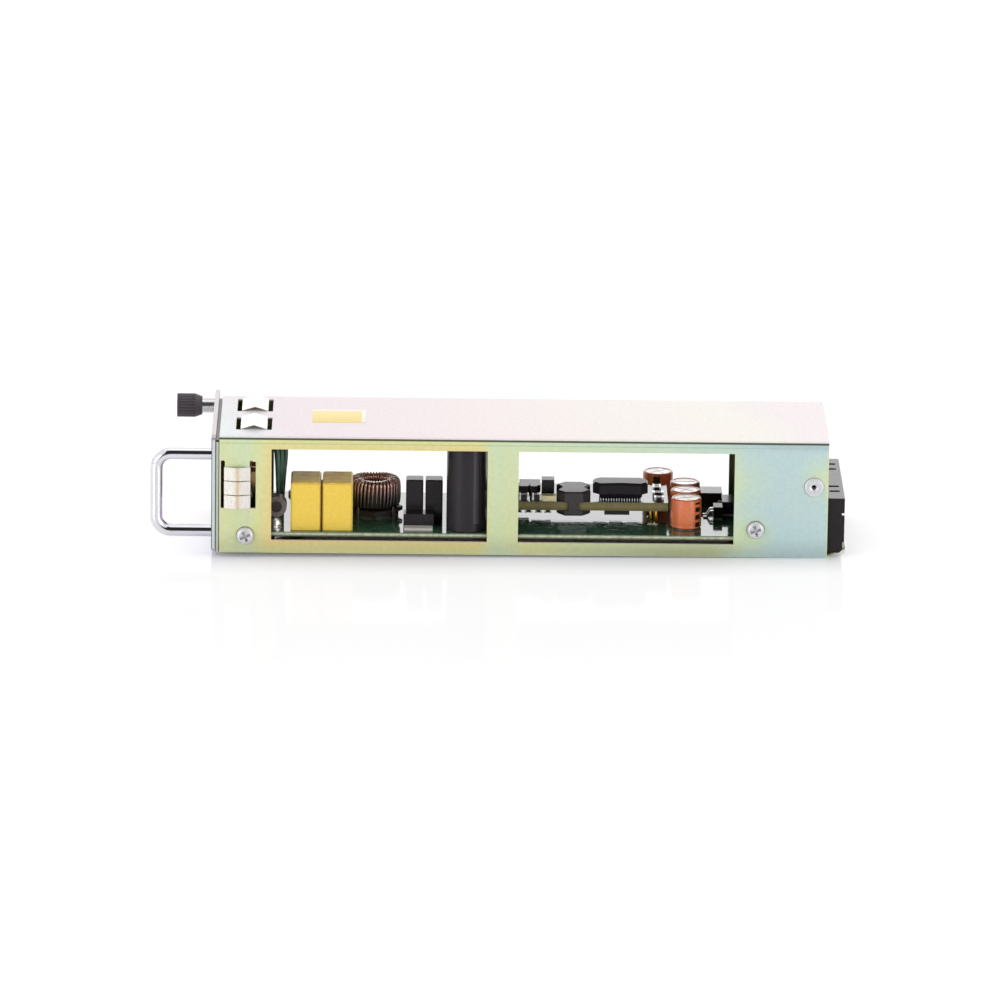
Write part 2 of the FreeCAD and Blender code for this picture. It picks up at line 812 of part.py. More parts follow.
def make_led():
    y = near + led_inset
    lens = rod(led_r, V(-plate_thick, y, led_z), V(sheet + led_reach, y, led_z))
    flange = rod(led_flange_r, V(sheet, y, led_z), V(sheet + led_flange, y, led_z))
    return fuse_all([lens, flange])


# Filter parts.
def chamfered_block(spec, index):
    """One of a row of moulded boxes, its upright and top edges chamfered."""
    y = near + spec["inset"]
    x = spec["x"] + index * (spec["long"] + spec["gap"])
    body = box(x, x + spec["long"], y, y + spec["deep"], board_top, board_top + spec["high"])
    return body.makeChamfer(spec["edge"], edges_where(body, lambda b: b.ZMax > board_top + 1e-6))


def choke_centre():
    return V(choke["x"], near + choke["inset"], 0)


def make_choke_core():
    wire = choke["wire"]
    inner = choke["hole"] + wire + wind_gap
    outer = choke["outer"] - wire - wind_gap
    low = choke["low"] + wire
    high = choke["high"] - wire
    return turned([(low, inner), (low, outer), (high, outer), (high, inner)], choke_centre(), V(0, 0, 1))


def make_choke_winding():
    """Turns of thick wire around the core, each a chamfered loop in its own radial plane."""
    wire = choke["wire"]
    r0, r1 = choke["hole"], choke["outer"]
    z0, z1 = choke["low"], choke["high"]
    c = wire * wind_corner
    half = wire * wind_half
    outline = [
        V(x, -half, z) for x, z in (
            (r0 + c, z0), (r1 - c, z0), (r1, z0 + c), (r1, z1 - c),
            (r1 - c, z1), (r0 + c, z1), (r0, z1 - c), (r0, z0 + c),
        )
    ]
    loop = prism(outline, V(0, 2 * half, 0))
    loop = loop.cut(box(r0 + wire, r1 - wire, -wire, wire, z0 + wire, z1 - wire))
    turns = []
    for i in range(choke["turns"]):
        turn = loop.copy()
        turn.rotate(V(0, 0, 0), V(0, 0, 1), 360.0 * i / choke["turns"])
        turn.translate(choke_centre())
        turns.append(turn)
    return Part.makeCompound(turns)


def make_choke_base():
    """Header plate with pointed corners, on four feet."""
    half = choke_pad["half"]
    low = choke["low"] - choke_pad["thick"]
    c = choke_centre()
    points = []
    for i in range(8):
        reach = half if i % 2 == 0 else half * choke_pad["flat"] * math.sqrt(2)
        angle = math.radians(45 * i)
        points.append(V(c.x + reach * math.cos(angle), c.y + reach * math.sin(angle), low))
    plate = prism(points, V(0, 0, choke_pad["thick"]))
    at = choke_pad["foot_at"]
    half_foot = choke_pad["foot"] / 2
    feet = []
    for dx, dy in ((at, 0), (-at, 0), (0, at), (0, -at)):
        x, y = c.x + dx, c.y + dy
        feet.append(box(x - half_foot, x + half_foot, y - half_foot, y + half_foot, board_top, low))
    return fuse_all([plate] + feet)


def make_transistor_tab():
    spec = transistor
    tab = transistor_tab
    y = near + spec["inset"]
    x0 = spec["x"] + tab["margin"]
    x1 = spec["x"] + spec["long"] - tab["margin"]
    return box(x0, x1, y - tab["reach"], y + spec["deep"] - 1, board_top, board_top + tab["thick"])


def make_bulk_cap():
    r = bulk_cap["r"]
    shoulder = bulk_cap["shoulder"]
    high = case_height - sheet - bulk_cap["top_gap"] - board_top
    centre = V(bulk_cap["x"], near + bulk_cap["inset"], board_top)
    outline = [(0, 0), (0, r), (high - shoulder, r), (high, r - shoulder), (high, 0)]
    return turned(outline, centre, V(0, 0, 1))


# Output side.
def out_cap_places():
    places = [V(x, near + inset, board_top) for x, inset in out_cap_near]
    places.append(V(out_cap_far[0], far - out_cap_far[1], board_top))
    return places


def make_out_can(place):
    return rod(out_cap["r"] - out_cap["sleeve"], place, place + V(0, 0, out_cap["high"]))


def make_out_sleeve(place):
    inner = out_cap["r"] - out_cap["sleeve"]
    outer = out_cap["r"]
    low = out_cap["foot"]
    high = out_cap["high"] - out_cap["lip"]
    return turned([(low, inner), (low, outer), (high, outer), (high, inner)], place, V(0, 0, 1))


def make_regulators():
    """Two flat power parts lying on their tabs beside the output capacitors."""
    lift = board_top + regulator_tab["thick"]
    return Part.makeCompound([block(spec, lift) for spec in (regulator_a, regulator_b)])


def make_regulator_legs():
    """The parts' tabs, and legs that leave their sides and step down to the board."""
    metal = []
    tab = regulator_tab
    t = regulator_leg["thick"]
    knee = board_top + regulator_leg["rise"]
    for spec in (regulator_a, regulator_b):
        x0, x1 = spec["x"], spec["x"] + spec["long"]
        y = near + spec["inset"]
        metal.append(box(x0, x1, y - tab["reach"], y + spec["deep"], board_top, board_top + tab["thick"]))
        shoulder = x0 - regulator_leg["shoulder"]
        toe = x0 - regulator_leg["reach"]
        heel = toe + regulator_leg["foot"]
        outline = (
            (x0, knee), (x0, knee + t), (shoulder, knee + t), (heel, board_top + t),
            (toe, board_top + t), (toe, board_top), (heel, board_top), (shoulder, knee),
        )
        for dy in spec["legs"]:
            points = [V(x, y + dy, z) for x, z in outline]
            metal.append(prism(points, V(0, regulator_leg["wide"], 0)))
    return Part.makeCompound(metal)


# Converter module.
def brick_top():
    return brick["low"] + brick["thick"]


def core_rows():
    """Lowest and highest Y of the core, and the inner faces of its two legs."""
    y0 = near + brick["inset"] - core["front"]
    y1 = y0 + core["deep"]
    return y0, y0 + core["leg_deep"], y1 - core["leg_deep"], y1


def make_brick_board():
    y = near + brick["inset"]
    board = box(brick["x"], brick["x"] + brick["long"], y, y + brick["deep"], brick["low"], brick_top())
    half = core["leg"] + core_slot_gap
    y0, inner0, inner1, y1 = core_rows()
    slots = []
    for low, high in ((y0 - 1, inner0 + core_slot_gap), (inner1 - core_slot_gap, y1 + core_slot_gap)):
        slots.append(box(core["x"] - half, core["x"] + half, low, high, brick["low"] - 1, brick_top() + 1))
    return cut_all(board, slots)


def core_outline(z):
    """Plan of the transformer's core: a block whose ends come to blunt points."""
    y0, _, _, y1 = core_rows()
    middle = (y0 + y1) / 2
    near_flank = y0 + core["flank"]
    far_flank = y1 - core["flank"]
    points = []
    for side in (1, -1):
        end = core["x"] + side * core["half"]
        row = [
            V(end - side * core["shoulder"], y0, z),
            V(end, near_flank, z),
            V(end - side * core["tip"], middle, z),
            V(end, far_flank, z),
            V(end - side * core["shoulder"], y1, z),
        ]
        points += row[::side]
    return points


def make_core_upper():
    top = brick_top()
    y0, inner0, inner1, y1 = core_rows()
    cap = prism(core_outline(top), V(0, 0, core["rise"]))
    rim = edges_where(cap, lambda b: b.ZMin > top + core["rise"] - 1e-6)
    cap = cap.makeChamfer(core["edge"], rim)
    half = core["leg"]
    legs = []
    for low, high in ((y0, inner0), (inner1, y1)):
        legs.append(box(core["x"] - half, core["x"] + half, low, high, brick["low"], top))
    return fuse_all([cap] + legs)


def make_core_lower():
    low = brick["low"] - core["drop"]
    cap = prism(core_outline(low), V(0, 0, core["drop"]))
    rim = edges_where(cap, lambda b: b.ZMax < low + 1e-6)
    return cap.makeChamfer(core["edge"], rim)


def make_inductor():
    spec = inductor
    x0, x1 = spec["x"], spec["x"] + spec["long"]
    y0 = near + spec["inset"]
    y1 = y0 + spec["deep"]
    c = spec["corner"]
    z = spec["low"]
    outline = [
        V(x0 + c, y0, z), V((x0 + x1) / 2, y0 + spec["waist"], z), V(x1 - c, y0, z),
        V(x1, y0 + c, z), V(x1, y1 - c, z), V(x1 - c, y1, z),
        V(x0 + c, y1, z), V(x0, y1 - c, z), V(x0, y0 + c, z),
    ]
    cap = prism(outline, V(0, 0, spec["high"] - z))
    rim = edges_where(cap, lambda b: b.ZMin > spec["high"] - 1e-6)
    cap = cap.makeChamfer(spec["edge"], rim)
    stem = box(x0 + c, x1 - c, y0 + spec["stem_front"], y1 - spec["stem_back"], brick_top(), z)
    return fuse_all([cap, stem])


def make_brick_chips():
    """Small surface-mounted parts on both faces of the converter board."""
    top = brick_top()
    low = brick["low"]
    side = near + brick["inset"]
    chips = []
    for x, inset, long, deep, high in chips_top:
        y = side + inset
        chips.append(box(x, x + long, y, y + deep, top, top + high))
    row = chips_row
    y = side + row["inset"]
    for i in range(row["count"]):
        x = row["x"] + i * row["pitch"]
        chips.append(box(x, x + row["long"], y, y + row["deep"], top, top + row["high"]))
    y = side + chips_under_inset
    for x, long, high in chips_under:
        chips.append(box(x, x + long, y, y + chips_under_deep, low - high, low))
    return Part.makeCompound(chips)


def make_ceramic():
    """Pale ceramic part beside the transformer."""
    spec = ceramic
    y = near + brick["inset"] + spec["inset"]
    top = brick_top()
    return box(spec["x"], spec["x"] + spec["long"], y, y + spec["deep"], top, top + spec["high"])


def make_brick_pins():
    """Pins that carry the converter board on the main board."""
    y = near + brick["inset"]
    last = brick["deep"] - pin_inset
    up = V(0, 0, brick["low"] - board_top)
    thin_r, thick_r = pin_r
    places = []
    for x, first in zip(pin_columns, (pin_first_inset, pin_inset)):
        places += [(thick_r, x, first), (thick_r, x, last)]
    for dy in (pin_inset, brick["deep"] / 2, last):
        places.append((thin_r, pin_columns[1] - pin_side_step, dy))
    return Part.makeCompound(
        [many_sided(r, V(x, y + dy, board_top), up, pin_sides).extrude(up) for r, x, dy in places]
    )


# Rear connector.
def plug_rows():
    near_rows = [near + inset for inset in plug_blade_insets]
    return near_rows + [far - inset for inset in plug_blade_far]


def plug_middle():
    return (plug_low + plug_high) / 2


def signal_centre():
    rows = plug_rows()
    return (rows[1] + rows[2]) / 2


def signal_reach(count):
    """From the middle of the signal field to its edge, along a run of so many pins."""
    return count * signal_pitch / 2 + signal_margin


def make_plug():
    neck_top = plug_high - plug_neck_drop
    lip = cover_rear + plug_edge_gap
    neck = box(plug_front_x, lip, -plug_neck_half, plug_neck_half, board_top, neck_top)
    root = box(plug_body_x, lip, -plug_neck_half, plug_neck_half, plug_low, neck_top)
    head = box(lip, plug_end, -plug_half, plug_half, plug_low, plug_high)
    body = fuse_all([neck, root, head])
    nose = edges_where(body, lambda b: b.XMin > plug_end - 1e-6 and b.ZMax < plug_low + 1e-6)
    body = body.makeChamfer(plug_nose, nose)
    hood = plug_half - plug_hood
    face = plug_end - plug_hood_deep
    step = plug_step["high"]
    cuts = [
        box(face, plug_end + 1, -hood, hood, step, plug_high - plug_hood),
        box(plug_end - plug_step["back"], plug_end + 1, -plug_half - 1, plug_half + 1, plug_low - 1, step),
    ]
    half = plug_slot_wide / 2
    mid = plug_middle()
    rise = plug_slot_high / 2
    top_slot = plug_top_slot
    for y in plug_rows():
        y0, y1 = y - half, y + half
        cuts.append(box(plug_end - plug_slot_deep, plug_end + 1, y0, y1, mid - rise, mid + rise))
        cuts.append(box(lip + top_slot["front"], plug_end - top_slot["rear"], y0, y1, mid, plug_high + 1))
    wide = signal_reach(signal_columns)
    rise = signal_reach(signal_rows)
    y = signal_centre()
    cuts.append(box(plug_end - signal_deep, plug_end + 1, y - wide, y + wide, mid - rise, mid + rise))
    notch = plug_notch
    z0, z1 = notch["z"] - notch["high"] / 2, notch["z"] + notch["high"] / 2
    side = box(plug_end - notch["deep"], plug_end + 1, -plug_half - 1, -hood, z0, z1)
    return cut_all(body, cuts + [side, mirrored(side)])


def make_plug_blades():
    mid = plug_middle()
    rise = plug_slot_high / 2 - blade_margin
    half = blade_thick / 2
    x0, x1 = plug_end - plug_slot_deep, plug_end - blade_back
    blades = [box(x0, x1, y - half, y + half, mid - rise, mid + rise) for y in plug_rows()]
    return Part.makeCompound(blades)


def make_signal_pins():
    half = signal_pin / 2
    x0, x1 = plug_end - signal_deep, plug_end - signal_back
    pins = []
    for i in range(signal_columns):
        y = signal_centre() + (i - (signal_columns - 1) / 2) * signal_pitch
        for j in range(signal_rows):
            z = plug_middle() + (j - (signal_rows - 1) / 2) * signal_pitch
            pins.append(box(x0, x1, y - half, y + half, z - half, z + half))
    return Part.makeCompound(pins)


def make_label():
    y = near + label_inset
    return box(label_x, label_x + label_long, y, y + label_wide, case_height, case_height + label_thick)


# Build.
def build_nodes():
    nodes = {
        "cover": make_cover(),
        "tray": make_tray(),
        "front_plate": make_front_plate(),
        "handle": make_handle(),
        "handle_screws": make_handle_screws(),
        "screw_sleeve": make_sleeve(),
        "thumb_knob": make_knob(),
        "thumb_screw": make_screw(),
        "thrust_washer": make_thrust_washer(),
        "screw_spring": make_spring(),
        "top_fingers_near": make_flat_fingers(top_groups[0], False),
        "top_fingers_far": make_flat_fingers(top_groups[1], False),
        "bottom_fingers_near": make_flat_fingers(top_groups[0], True),
        "bottom_fingers_far": make_flat_fingers(top_groups[1], True),
        "side_fingers_near": make_side_fingers(),
        "side_fingers_far": mirrored(make_side_fingers()),
        "cover_screws": make_cover_screws(),
        "rear_rivets": make_rear_rivets(),
        "blank_label": make_label(),
        "main_board": make_main_board(),
        "board_standoffs": make_standoffs(),
        "board_screws": make_board_screws(),
        "input_inlet": make_inlet(),
        "inlet_blades": make_inlet_blades(),
        "input_leads": make_leads(),
        "ferrite_bead": make_bead(),
        "terminal_post": make_post(),
        "status_led": make_led(),
        "choke_core": make_choke_core(),
        "choke_winding": make_choke_winding(),
        "choke_base": make_choke_base(),
        "power_transistor": block(transistor, board_top + transistor_tab["thick"]),
        "transistor_tab": make_transistor_tab(),
        "bulk_capacitor": make_bulk_cap(),
        "current_sensor": block(current_box, board_top),
        "output_fuse": block(fuse, board_top),
        "regulators": make_regulators(),
        "regulator_legs": make_regulator_legs(),
        "converter_board": make_brick_board(),
        "transformer_core_upper": make_core_upper(),
        "transformer_core_lower": make_core_lower(),
        "converter_inductor": make_inductor(),
        "converter_driver": block(driver, brick_top()),
        "converter_chips": make_brick_chips(),
        "converter_ceramic": make_ceramic(),
        "converter_pins": make_brick_pins(),
        "rear_connector": make_plug(),
        "power_blades": make_plug_blades(),
        "signal_pins": make_signal_pins(),
        "output_sleeves": Part.makeCompound([make_out_sleeve(p) for p in out_cap_places()]),
    }
    for i in range(2):
        nodes["film_capacitor_%d" % (i + 1)] = chamfered_block(film_cap, i)
        nodes["box_capacitor_%d" % (i + 1)] = chamfered_block(box_cap, i)
    for i, place in enumerate(out_cap_places()):
        nodes["output_can_%d" % (i + 1)] = make_out_can(place)
    return nodes


def main():
    os.makedirs("parts", exist_ok=True)
    for name, shape in build_nodes().items():
        shape.exportStep("parts/%s.step" % name)
        print(name, len(shape.Solids), shape.isValid(), round(shape.Volume, 1))


main()
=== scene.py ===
from math import copysign, cos, pi, radians, sin

import bmesh
import bpy
from mathutils import Matrix, Vector


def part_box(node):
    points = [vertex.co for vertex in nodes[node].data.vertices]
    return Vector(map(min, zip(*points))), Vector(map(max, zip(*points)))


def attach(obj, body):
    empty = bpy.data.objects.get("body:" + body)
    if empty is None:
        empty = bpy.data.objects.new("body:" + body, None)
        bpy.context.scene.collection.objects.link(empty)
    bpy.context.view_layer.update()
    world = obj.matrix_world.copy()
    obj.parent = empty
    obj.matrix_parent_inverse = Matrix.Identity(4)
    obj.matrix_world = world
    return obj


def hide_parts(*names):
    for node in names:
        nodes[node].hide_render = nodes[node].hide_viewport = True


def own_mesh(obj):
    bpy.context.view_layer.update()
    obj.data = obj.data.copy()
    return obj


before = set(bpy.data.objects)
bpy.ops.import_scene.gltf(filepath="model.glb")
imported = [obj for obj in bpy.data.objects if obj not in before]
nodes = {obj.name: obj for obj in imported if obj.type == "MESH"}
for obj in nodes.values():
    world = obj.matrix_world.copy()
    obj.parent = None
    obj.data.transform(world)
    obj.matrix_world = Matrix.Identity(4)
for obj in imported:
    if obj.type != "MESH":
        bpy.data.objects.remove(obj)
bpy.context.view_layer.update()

mm = 0.001
print("frame loaded:", len(nodes), "nodes")


def sized(*values):    # millimetres as metres
    return tuple(value * mm for value in values)


def paint(*levels):    # a screen colour, 0 to 255, as the shaders want it
    shares = [level / 255.0 for level in levels]
    return (*(s / 12.92 if s <= 0.04045 else ((s + 0.055) / 1.055) ** 2.4 for s in shares), 1.0)


def dimmed(colour, share):
    return tuple(c * share for c in colour[:3]) + (1.0,)


def operation(name):    # a method that adds one maths node
    def method(self, *others):
        return self.maker.maths(name, self, *others)

    return method


class Wire:    # a socket that can stand in a sum
    def __init__(self, maker, socket):
        self.maker = maker
        self.socket = socket

    __add__ = __radd__ = operation("ADD")
    __sub__ = operation("SUBTRACT")
    __mul__ = __rmul__ = operation("MULTIPLY")
    __truediv__ = operation("DIVIDE")
    __gt__ = operation("GREATER_THAN")
    __lt__ = operation("LESS_THAN")
    size = operation("ABSOLUTE")
    root = operation("SQRT")
    fraction = operation("FRACT")
    atLeast = operation("MAXIMUM")
    atMost = operation("MINIMUM")

    def __rsub__(self, other):
        return self.maker.maths("SUBTRACT", other, self)

    def clear(self):    # kept between 0 and 1
        return self.atLeast(0.0).atMost(1.0)

    def between(self, low, high):    # 0 below low, 1 above high, a slope in between
        return ((self - low) / (high - low)).clear()

    def fade(self, low, high):    # 1 below low, 0 above high
        return 1.0 - self.between(low, high)

    def beyond(self, middle, half):    # how far outside a stretch, 0 within it
        return ((self - middle).size() - half).atLeast(0.0)

    def reach(self, other):    # the long side of the triangle that the two make
        return (self * self + other * other).root()


class Maker:    # makes the nodes of one tree
    def __init__(self, tree):
        self.tree = tree

    def link(self, socket, value):
        if isinstance(value, Wire):
            self.tree.links.new(value.socket, socket)
        else:
            socket.default_value = value

    def node(self, kind, settings=None, sockets=None, out=0):
        made = self.tree.nodes.new(kind)
        for key, value in (settings or {}).items():
            if key == "stops":
                ramp = made.color_ramp.elements
                while len(ramp) < len(value):
                    ramp.new(0.5)
                for stop, (place, colour) in zip(ramp, value):
                    stop.position = place
                    stop.color = colour
            else:
                setattr(made, key, value)
        for key, value in (sockets or {}).items():
            self.link(made.inputs[key], value)
        return Wire(self, made.outputs[out])

    def maths(self, name, *values):
        return self.node("ShaderNodeMath", {"operation": name}, dict(enumerate(values)))

    def split(self, spot):
        return [self.node("ShaderNodeSeparateXYZ", sockets={0: spot}, out=i) for i in range(3)]

    def ramp(self, factor, stops):
        return self.node("ShaderNodeValToRGB", {"stops": stops}, {"Fac": factor})

    def mix(self, factor, first, second, way="MIX"):
        settings = {"data_type": "RGBA", "blend_type": way}
        return self.node("ShaderNodeMix", settings, {0: factor, 6: first, 7: second}, out=2)


class Finish(Maker):    # one material
    def __init__(self, name, **more):
        self.material = bpy.data.materials.new(name)
        self.material.use_nodes = True
        super().__init__(self.material.node_tree)
        self.shader = self.tree.nodes["Principled BSDF"]
        for socket, value in more.items():
            self.put(socket.replace("_", " "), value)

    def put(self, socket, value):
        self.link(self.shader.inputs[socket], value)

    def tint(self, factor, first, second, way="MIX"):
        self.put("Base Color", self.mix(factor, first, second, way))

    def roughen(self, marks, rough, more=None):    # rough: (least, rise with the marks)
        total = marks * rough[1] + rough[0]
        self.put("Roughness", total + more if more else total)

    def place(self):
        return self.node("ShaderNodeTexCoord", out="Object")

    def axes(self):
        return self.split(self.place())

    def noise(self, scale, detail=3.0, stretch=None):
        spot = self.place()
        if stretch:
            spot = self.node("ShaderNodeMapping", sockets={"Vector": spot, "Scale": stretch})
        sockets = {"Vector": spot, "Scale": scale, "Detail": detail}
        return self.node("ShaderNodeTexNoise", sockets=sockets, out="Fac")

    def bump(self, height, strength, distance):
        sockets = {"Strength": strength, "Distance": distance, "Height": height}
        self.put("Normal", self.node("ShaderNodeBump", sockets=sockets))


def placed(name, data):
    piece = bpy.data.objects.new(name, data)
    bpy.context.scene.collection.objects.link(piece)
    return piece


def finished(piece, finish, body="module", smooth=True):
    piece.data.materials.clear()
    piece.data.materials.append(finish.material)
    if smooth and piece.type == "MESH":
        for face in piece.data.polygons:
            face.use_smooth = True
    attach(piece, body)
    return piece


def meshPiece(name, made, finish, smooth=True, sharp=35):
    mesh = bpy.data.meshes.new(name)
    bmesh.ops.remove_doubles(made, verts=made.verts, dist=1e-7)
    bmesh.ops.recalc_face_normals(made, faces=made.faces)
    made.to_mesh(mesh)
    made.free()
    piece = finished(placed(name, mesh), finish, smooth=smooth)
    if smooth:
        mesh.set_sharp_from_angle(angle=radians(sharp))
    return piece


def tubePiece(name, points, radius, finish, sides):
    curve = bpy.data.curves.new(name, "CURVE")
    curve.dimensions = "3D"
    curve.bevel_depth = radius
    curve.bevel_resolution = sides // 4
    curve.use_fill_caps = True
    spline = curve.splines.new("NURBS")
    spline.points.add(len(points) - 1)
    for spot, point in zip(spline.points, points):
        spot.co = (*point, 1.0)
    spline.order_u = 3
    spline.use_endpoint_u = True
    return finished(placed(name, curve), finish)


def addBox(made, low, high, bevel):
    size = [b - a for a, b in zip(low, high)]
    middle = [(a + b) / 2 for a, b in zip(low, high)]
    matrix = Matrix.Translation(middle) @ Matrix.Diagonal((*size, 1.0))
    cube = bmesh.ops.create_cube(made, size=1.0, matrix=matrix)
    edges = list({e for v in cube["verts"] for e in v.link_edges})
    bmesh.ops.bevel(made, geom=edges, offset=bevel, segments=2, affect="EDGES", profile=0.6)


def addLathe(made, profile, centre, axis=(0, 0, 1), steps=48):    # profile: (along the axis, radius)
    turn = Vector((0, 0, 1)).rotation_difference(Vector(axis)).to_matrix()
    rings = []
    for along, radius in profile:
        ring = []
        for i in range(steps if radius > 1e-9 else 1):
            angle = 2 * pi * i / steps
            spot = Vector((radius * cos(angle), radius * sin(angle), along))
            ring.append(made.verts.new(turn @ spot + Vector(centre)))
        rings.append(ring)
    for first, second in zip(rings, rings[1:]):
        for i in range(steps):
            j = (i + 1) % steps
            corners = [ring[k % len(ring)] for ring, k in ((first, i), (first, j), (second, j), (second, i))]
            corners = list(dict.fromkeys(corners))    # a ring of one point gives triangles
            if len(corners) > 2:
                made.faces.new(corners)
    return rings


def turnedPiece(name, profile, centre, finish, axis=(0, 0, 1), steps=48):
    made = bmesh.new()
    addLathe(made, profile, centre, axis, steps)
    return meshPiece(name, made, finish)


def stepped(z, radius, steps):    # profile points from an edge; steps: (up, in), in millimetres
    return [(z + up * mm, radius - into * mm) for up, into in steps]


def roundOff(top, drop, radius, pull, steps=6):    # profile points that turn a side into a top
    turns = [pi / 2 * k / steps for k in range(steps + 1)]
    return [(top - drop * (1 - sin(t)), radius - pull * (1 - cos(t))) for t in turns]


def solidsOf(node):    # the lowest and highest corner of each separate solid in a node
    verts = nodes[node].data.vertices
    solids = []
    for face in nodes[node].data.polygons:
        joined = {tuple(round(c * 1e6) for c in verts[i].co): verts[i].co for i in face.vertices}
        for solid in [s for s in solids if s.keys() & joined.keys()]:
            solids.remove(solid)
            joined.update(solid)
        solids.append(joined)
    boxes = [[Vector([pick(axis) for axis in zip(*s.values())]) for pick in (min, max)] for s in solids]
    return sorted(boxes, key=lambda box: tuple(round(c, 5) for c in box[0]))


def middleOf(low, high):
    return (low + high) / 2


def halfWidth(low, high):
    return (high.x - low.x) / 2


def standing(low, high):    # the foot of an upright round piece, and its radius
    middle = middleOf(low, high)
    return Vector((middle.x, middle.y, 0.0)), halfWidth(low, high)


coverLow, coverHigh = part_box("cover")
boardLow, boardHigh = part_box("main_board")
brickLow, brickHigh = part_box("converter_board")
wall = 1.0 * mm          # the case's sheet
outside = coverHigh.y    # outer face of a side wall
sliver = 0.05 * mm       # how near counts as on a face


def zincBase(finish):    # yellow zinc: gold round the openings, green and blue away from them; with painted shade, a painted contact shadow round the heads, a painted dark reflection along the bend and a top painted pale as a painted reflection
    look = dict(
        # how gold the flank is, and what each stretch along it adds or takes
        plain=0.50, drift=24.0, drifting=0.38, rear=sized(90, 186), rearLess=0.44, nose=sized(4, 11),
        noseMore=0.14, below=sized(98, 104), bay=sized(166, 178), belowMore=0.2, rise=sized(120, 155),
        riseMore=0.2, end=0.4 * mm, endMore=0.4,
        windows=((18.5, 90.5, 0.44, 9.0), (100.85, 172.85, 0.16, 4.0)),    # start, end, strength, fade
        middle=20.0, half=15.7, web=sized(88, 92), webEnd=96 * mm, webLess=0.85,
        # halos: x, z, reach, strength
        halos=((178.5, 7.5, 10.0, 0.42), (203.0, 27.5, 10.0, 0.36), (175.5, 26.0, 13.0, 0.22)), core=1.5 * mm,
        tints=(
            (0.00, paint(194, 219, 226)), (0.25, paint(202, 224, 214)), (0.50, paint(215, 231, 193)),
            (0.78, paint(228, 229, 167)), (1.00, paint(240, 219, 149)),
        ),
        # painted shade: where the flank is darkened near the floor, more towards the rear bay, and along the
        # band below the bend, and how much; the same tone darkens a thin line below the bend
        shadeTone=paint(214, 212, 210), foot=sized(2, 7), footShade=0.4, base=sized(110, 150), baseShade=0.6,
        crown=sized(36.3, 38.4), crownRear=sized(165, 190), crownShade=0.45,
        # a thin darker line along the flank below the bend
        lineAt=37.7 * mm, lineFade=sized(0.10, 0.22), lineDark=0.6,
        # screw and rivet heads, with a painted contact shadow round each: x, z, radius
        headShadow=paint(150, 150, 140), heads=((9.85, 5.9, 3.0), (180.15, 9.6, 3.0), (199.35, 24.5, 3.2)),
        ringIn=0.05, ringOut=0.2,
        # the top, painted paler than the flank as a painted reflection of the white backdrop; its tints run
        # from the front to the rear
        lid=0.7 * mm, run=200 * mm, runDrift=0.16, side=27 * mm, runSide=1.2,
        top=(
            (0.00, paint(218, 225, 226)), (0.12, paint(224, 213, 218)), (0.40, paint(228, 216, 218)),
            (0.65, paint(230, 223, 219)), (0.92, paint(231, 226, 220)), (1.00, paint(230, 221, 223)),
        ),
        # a painted dark reflection along the bend
        bendReflection=paint(112, 122, 100), bendLow=sized(38.85, 39.0), bendHigh=sized(39.45, 39.65),
    )
    x, y, z = finish.axes()
    drift = finish.noise(look["drift"], 3.0, (0.5, 1.0, 1.0)) - 0.5
    foot = z.fade(*look["foot"])
    bay = x.fade(*look["bay"])
    gold = look["plain"] - x.between(*look["rear"]) * look["rearLess"] + drift * look["drifting"]
    gold += x.fade(*look["nose"]) * look["noseMore"]
    belowMore = x.between(*look["rise"]) * look["riseMore"] + look["belowMore"]
    below = foot * x.between(*look["below"]) * bay * belowMore
    gold += below + (x > coverHigh.x - look["end"]) * look["endMore"]
    for start, end, strength, fade in look["windows"]:
        dx = x.beyond((start + end) / 2 * mm, (end - start) / 2 * mm)
        dz = z.beyond(look["middle"] * mm, look["half"] * mm)
        web = x.between(*look["web"]) * (x < look["webEnd"]) * look["webLess"]
        gold += dx.reach(dz).fade(0.0, fade * mm) * strength * (1.0 - web)
    for along, height, reach, strength in look["halos"]:
        away = (x - along * mm).reach(z - height * mm)
        gold += away.fade(look["core"], reach * mm) * strength
    flank = finish.ramp(gold.clear(), look["tints"])
    # painted shade near the floor and along the band below the bend
    footShade = foot * (x.between(*look["base"]) * bay * look["baseShade"] + look["footShade"])
    crownShade = z.between(*look["crown"]) * x.between(*look["crownRear"]) * look["crownShade"]
    darkLine = (z - look["lineAt"]).size().fade(*look["lineFade"]) * look["lineDark"]    # a thin darker line below the bend
    flank = finish.mix(footShade.atLeast(crownShade).atLeast(darkLine), flank, look["shadeTone"], "MULTIPLY")
    # a painted contact shadow ringing each screw and rivet head
    for along, height, radius in look["heads"]:
        away = (x - along * mm).reach(z - height * mm)
        ring = away.fade((radius - look["ringIn"]) * mm, (radius + look["ringOut"]) * mm)
        flank = finish.mix(ring, flank, look["headShadow"], "MULTIPLY")
    run = x.between(0.0, look["run"]) + drift * look["runDrift"] + (y + look["side"]) * look["runSide"]
    # the top painted pale, a painted reflection of the white backdrop
    both = finish.mix(z > coverHigh.z - look["lid"], flank, finish.ramp(run.clear(), look["top"]))
    bend = z.between(*look["bendLow"]) * z.fade(*look["bendHigh"])    # a painted dark reflection along the bend
    return finish.mix(bend, both, look["bendReflection"], "MULTIPLY")


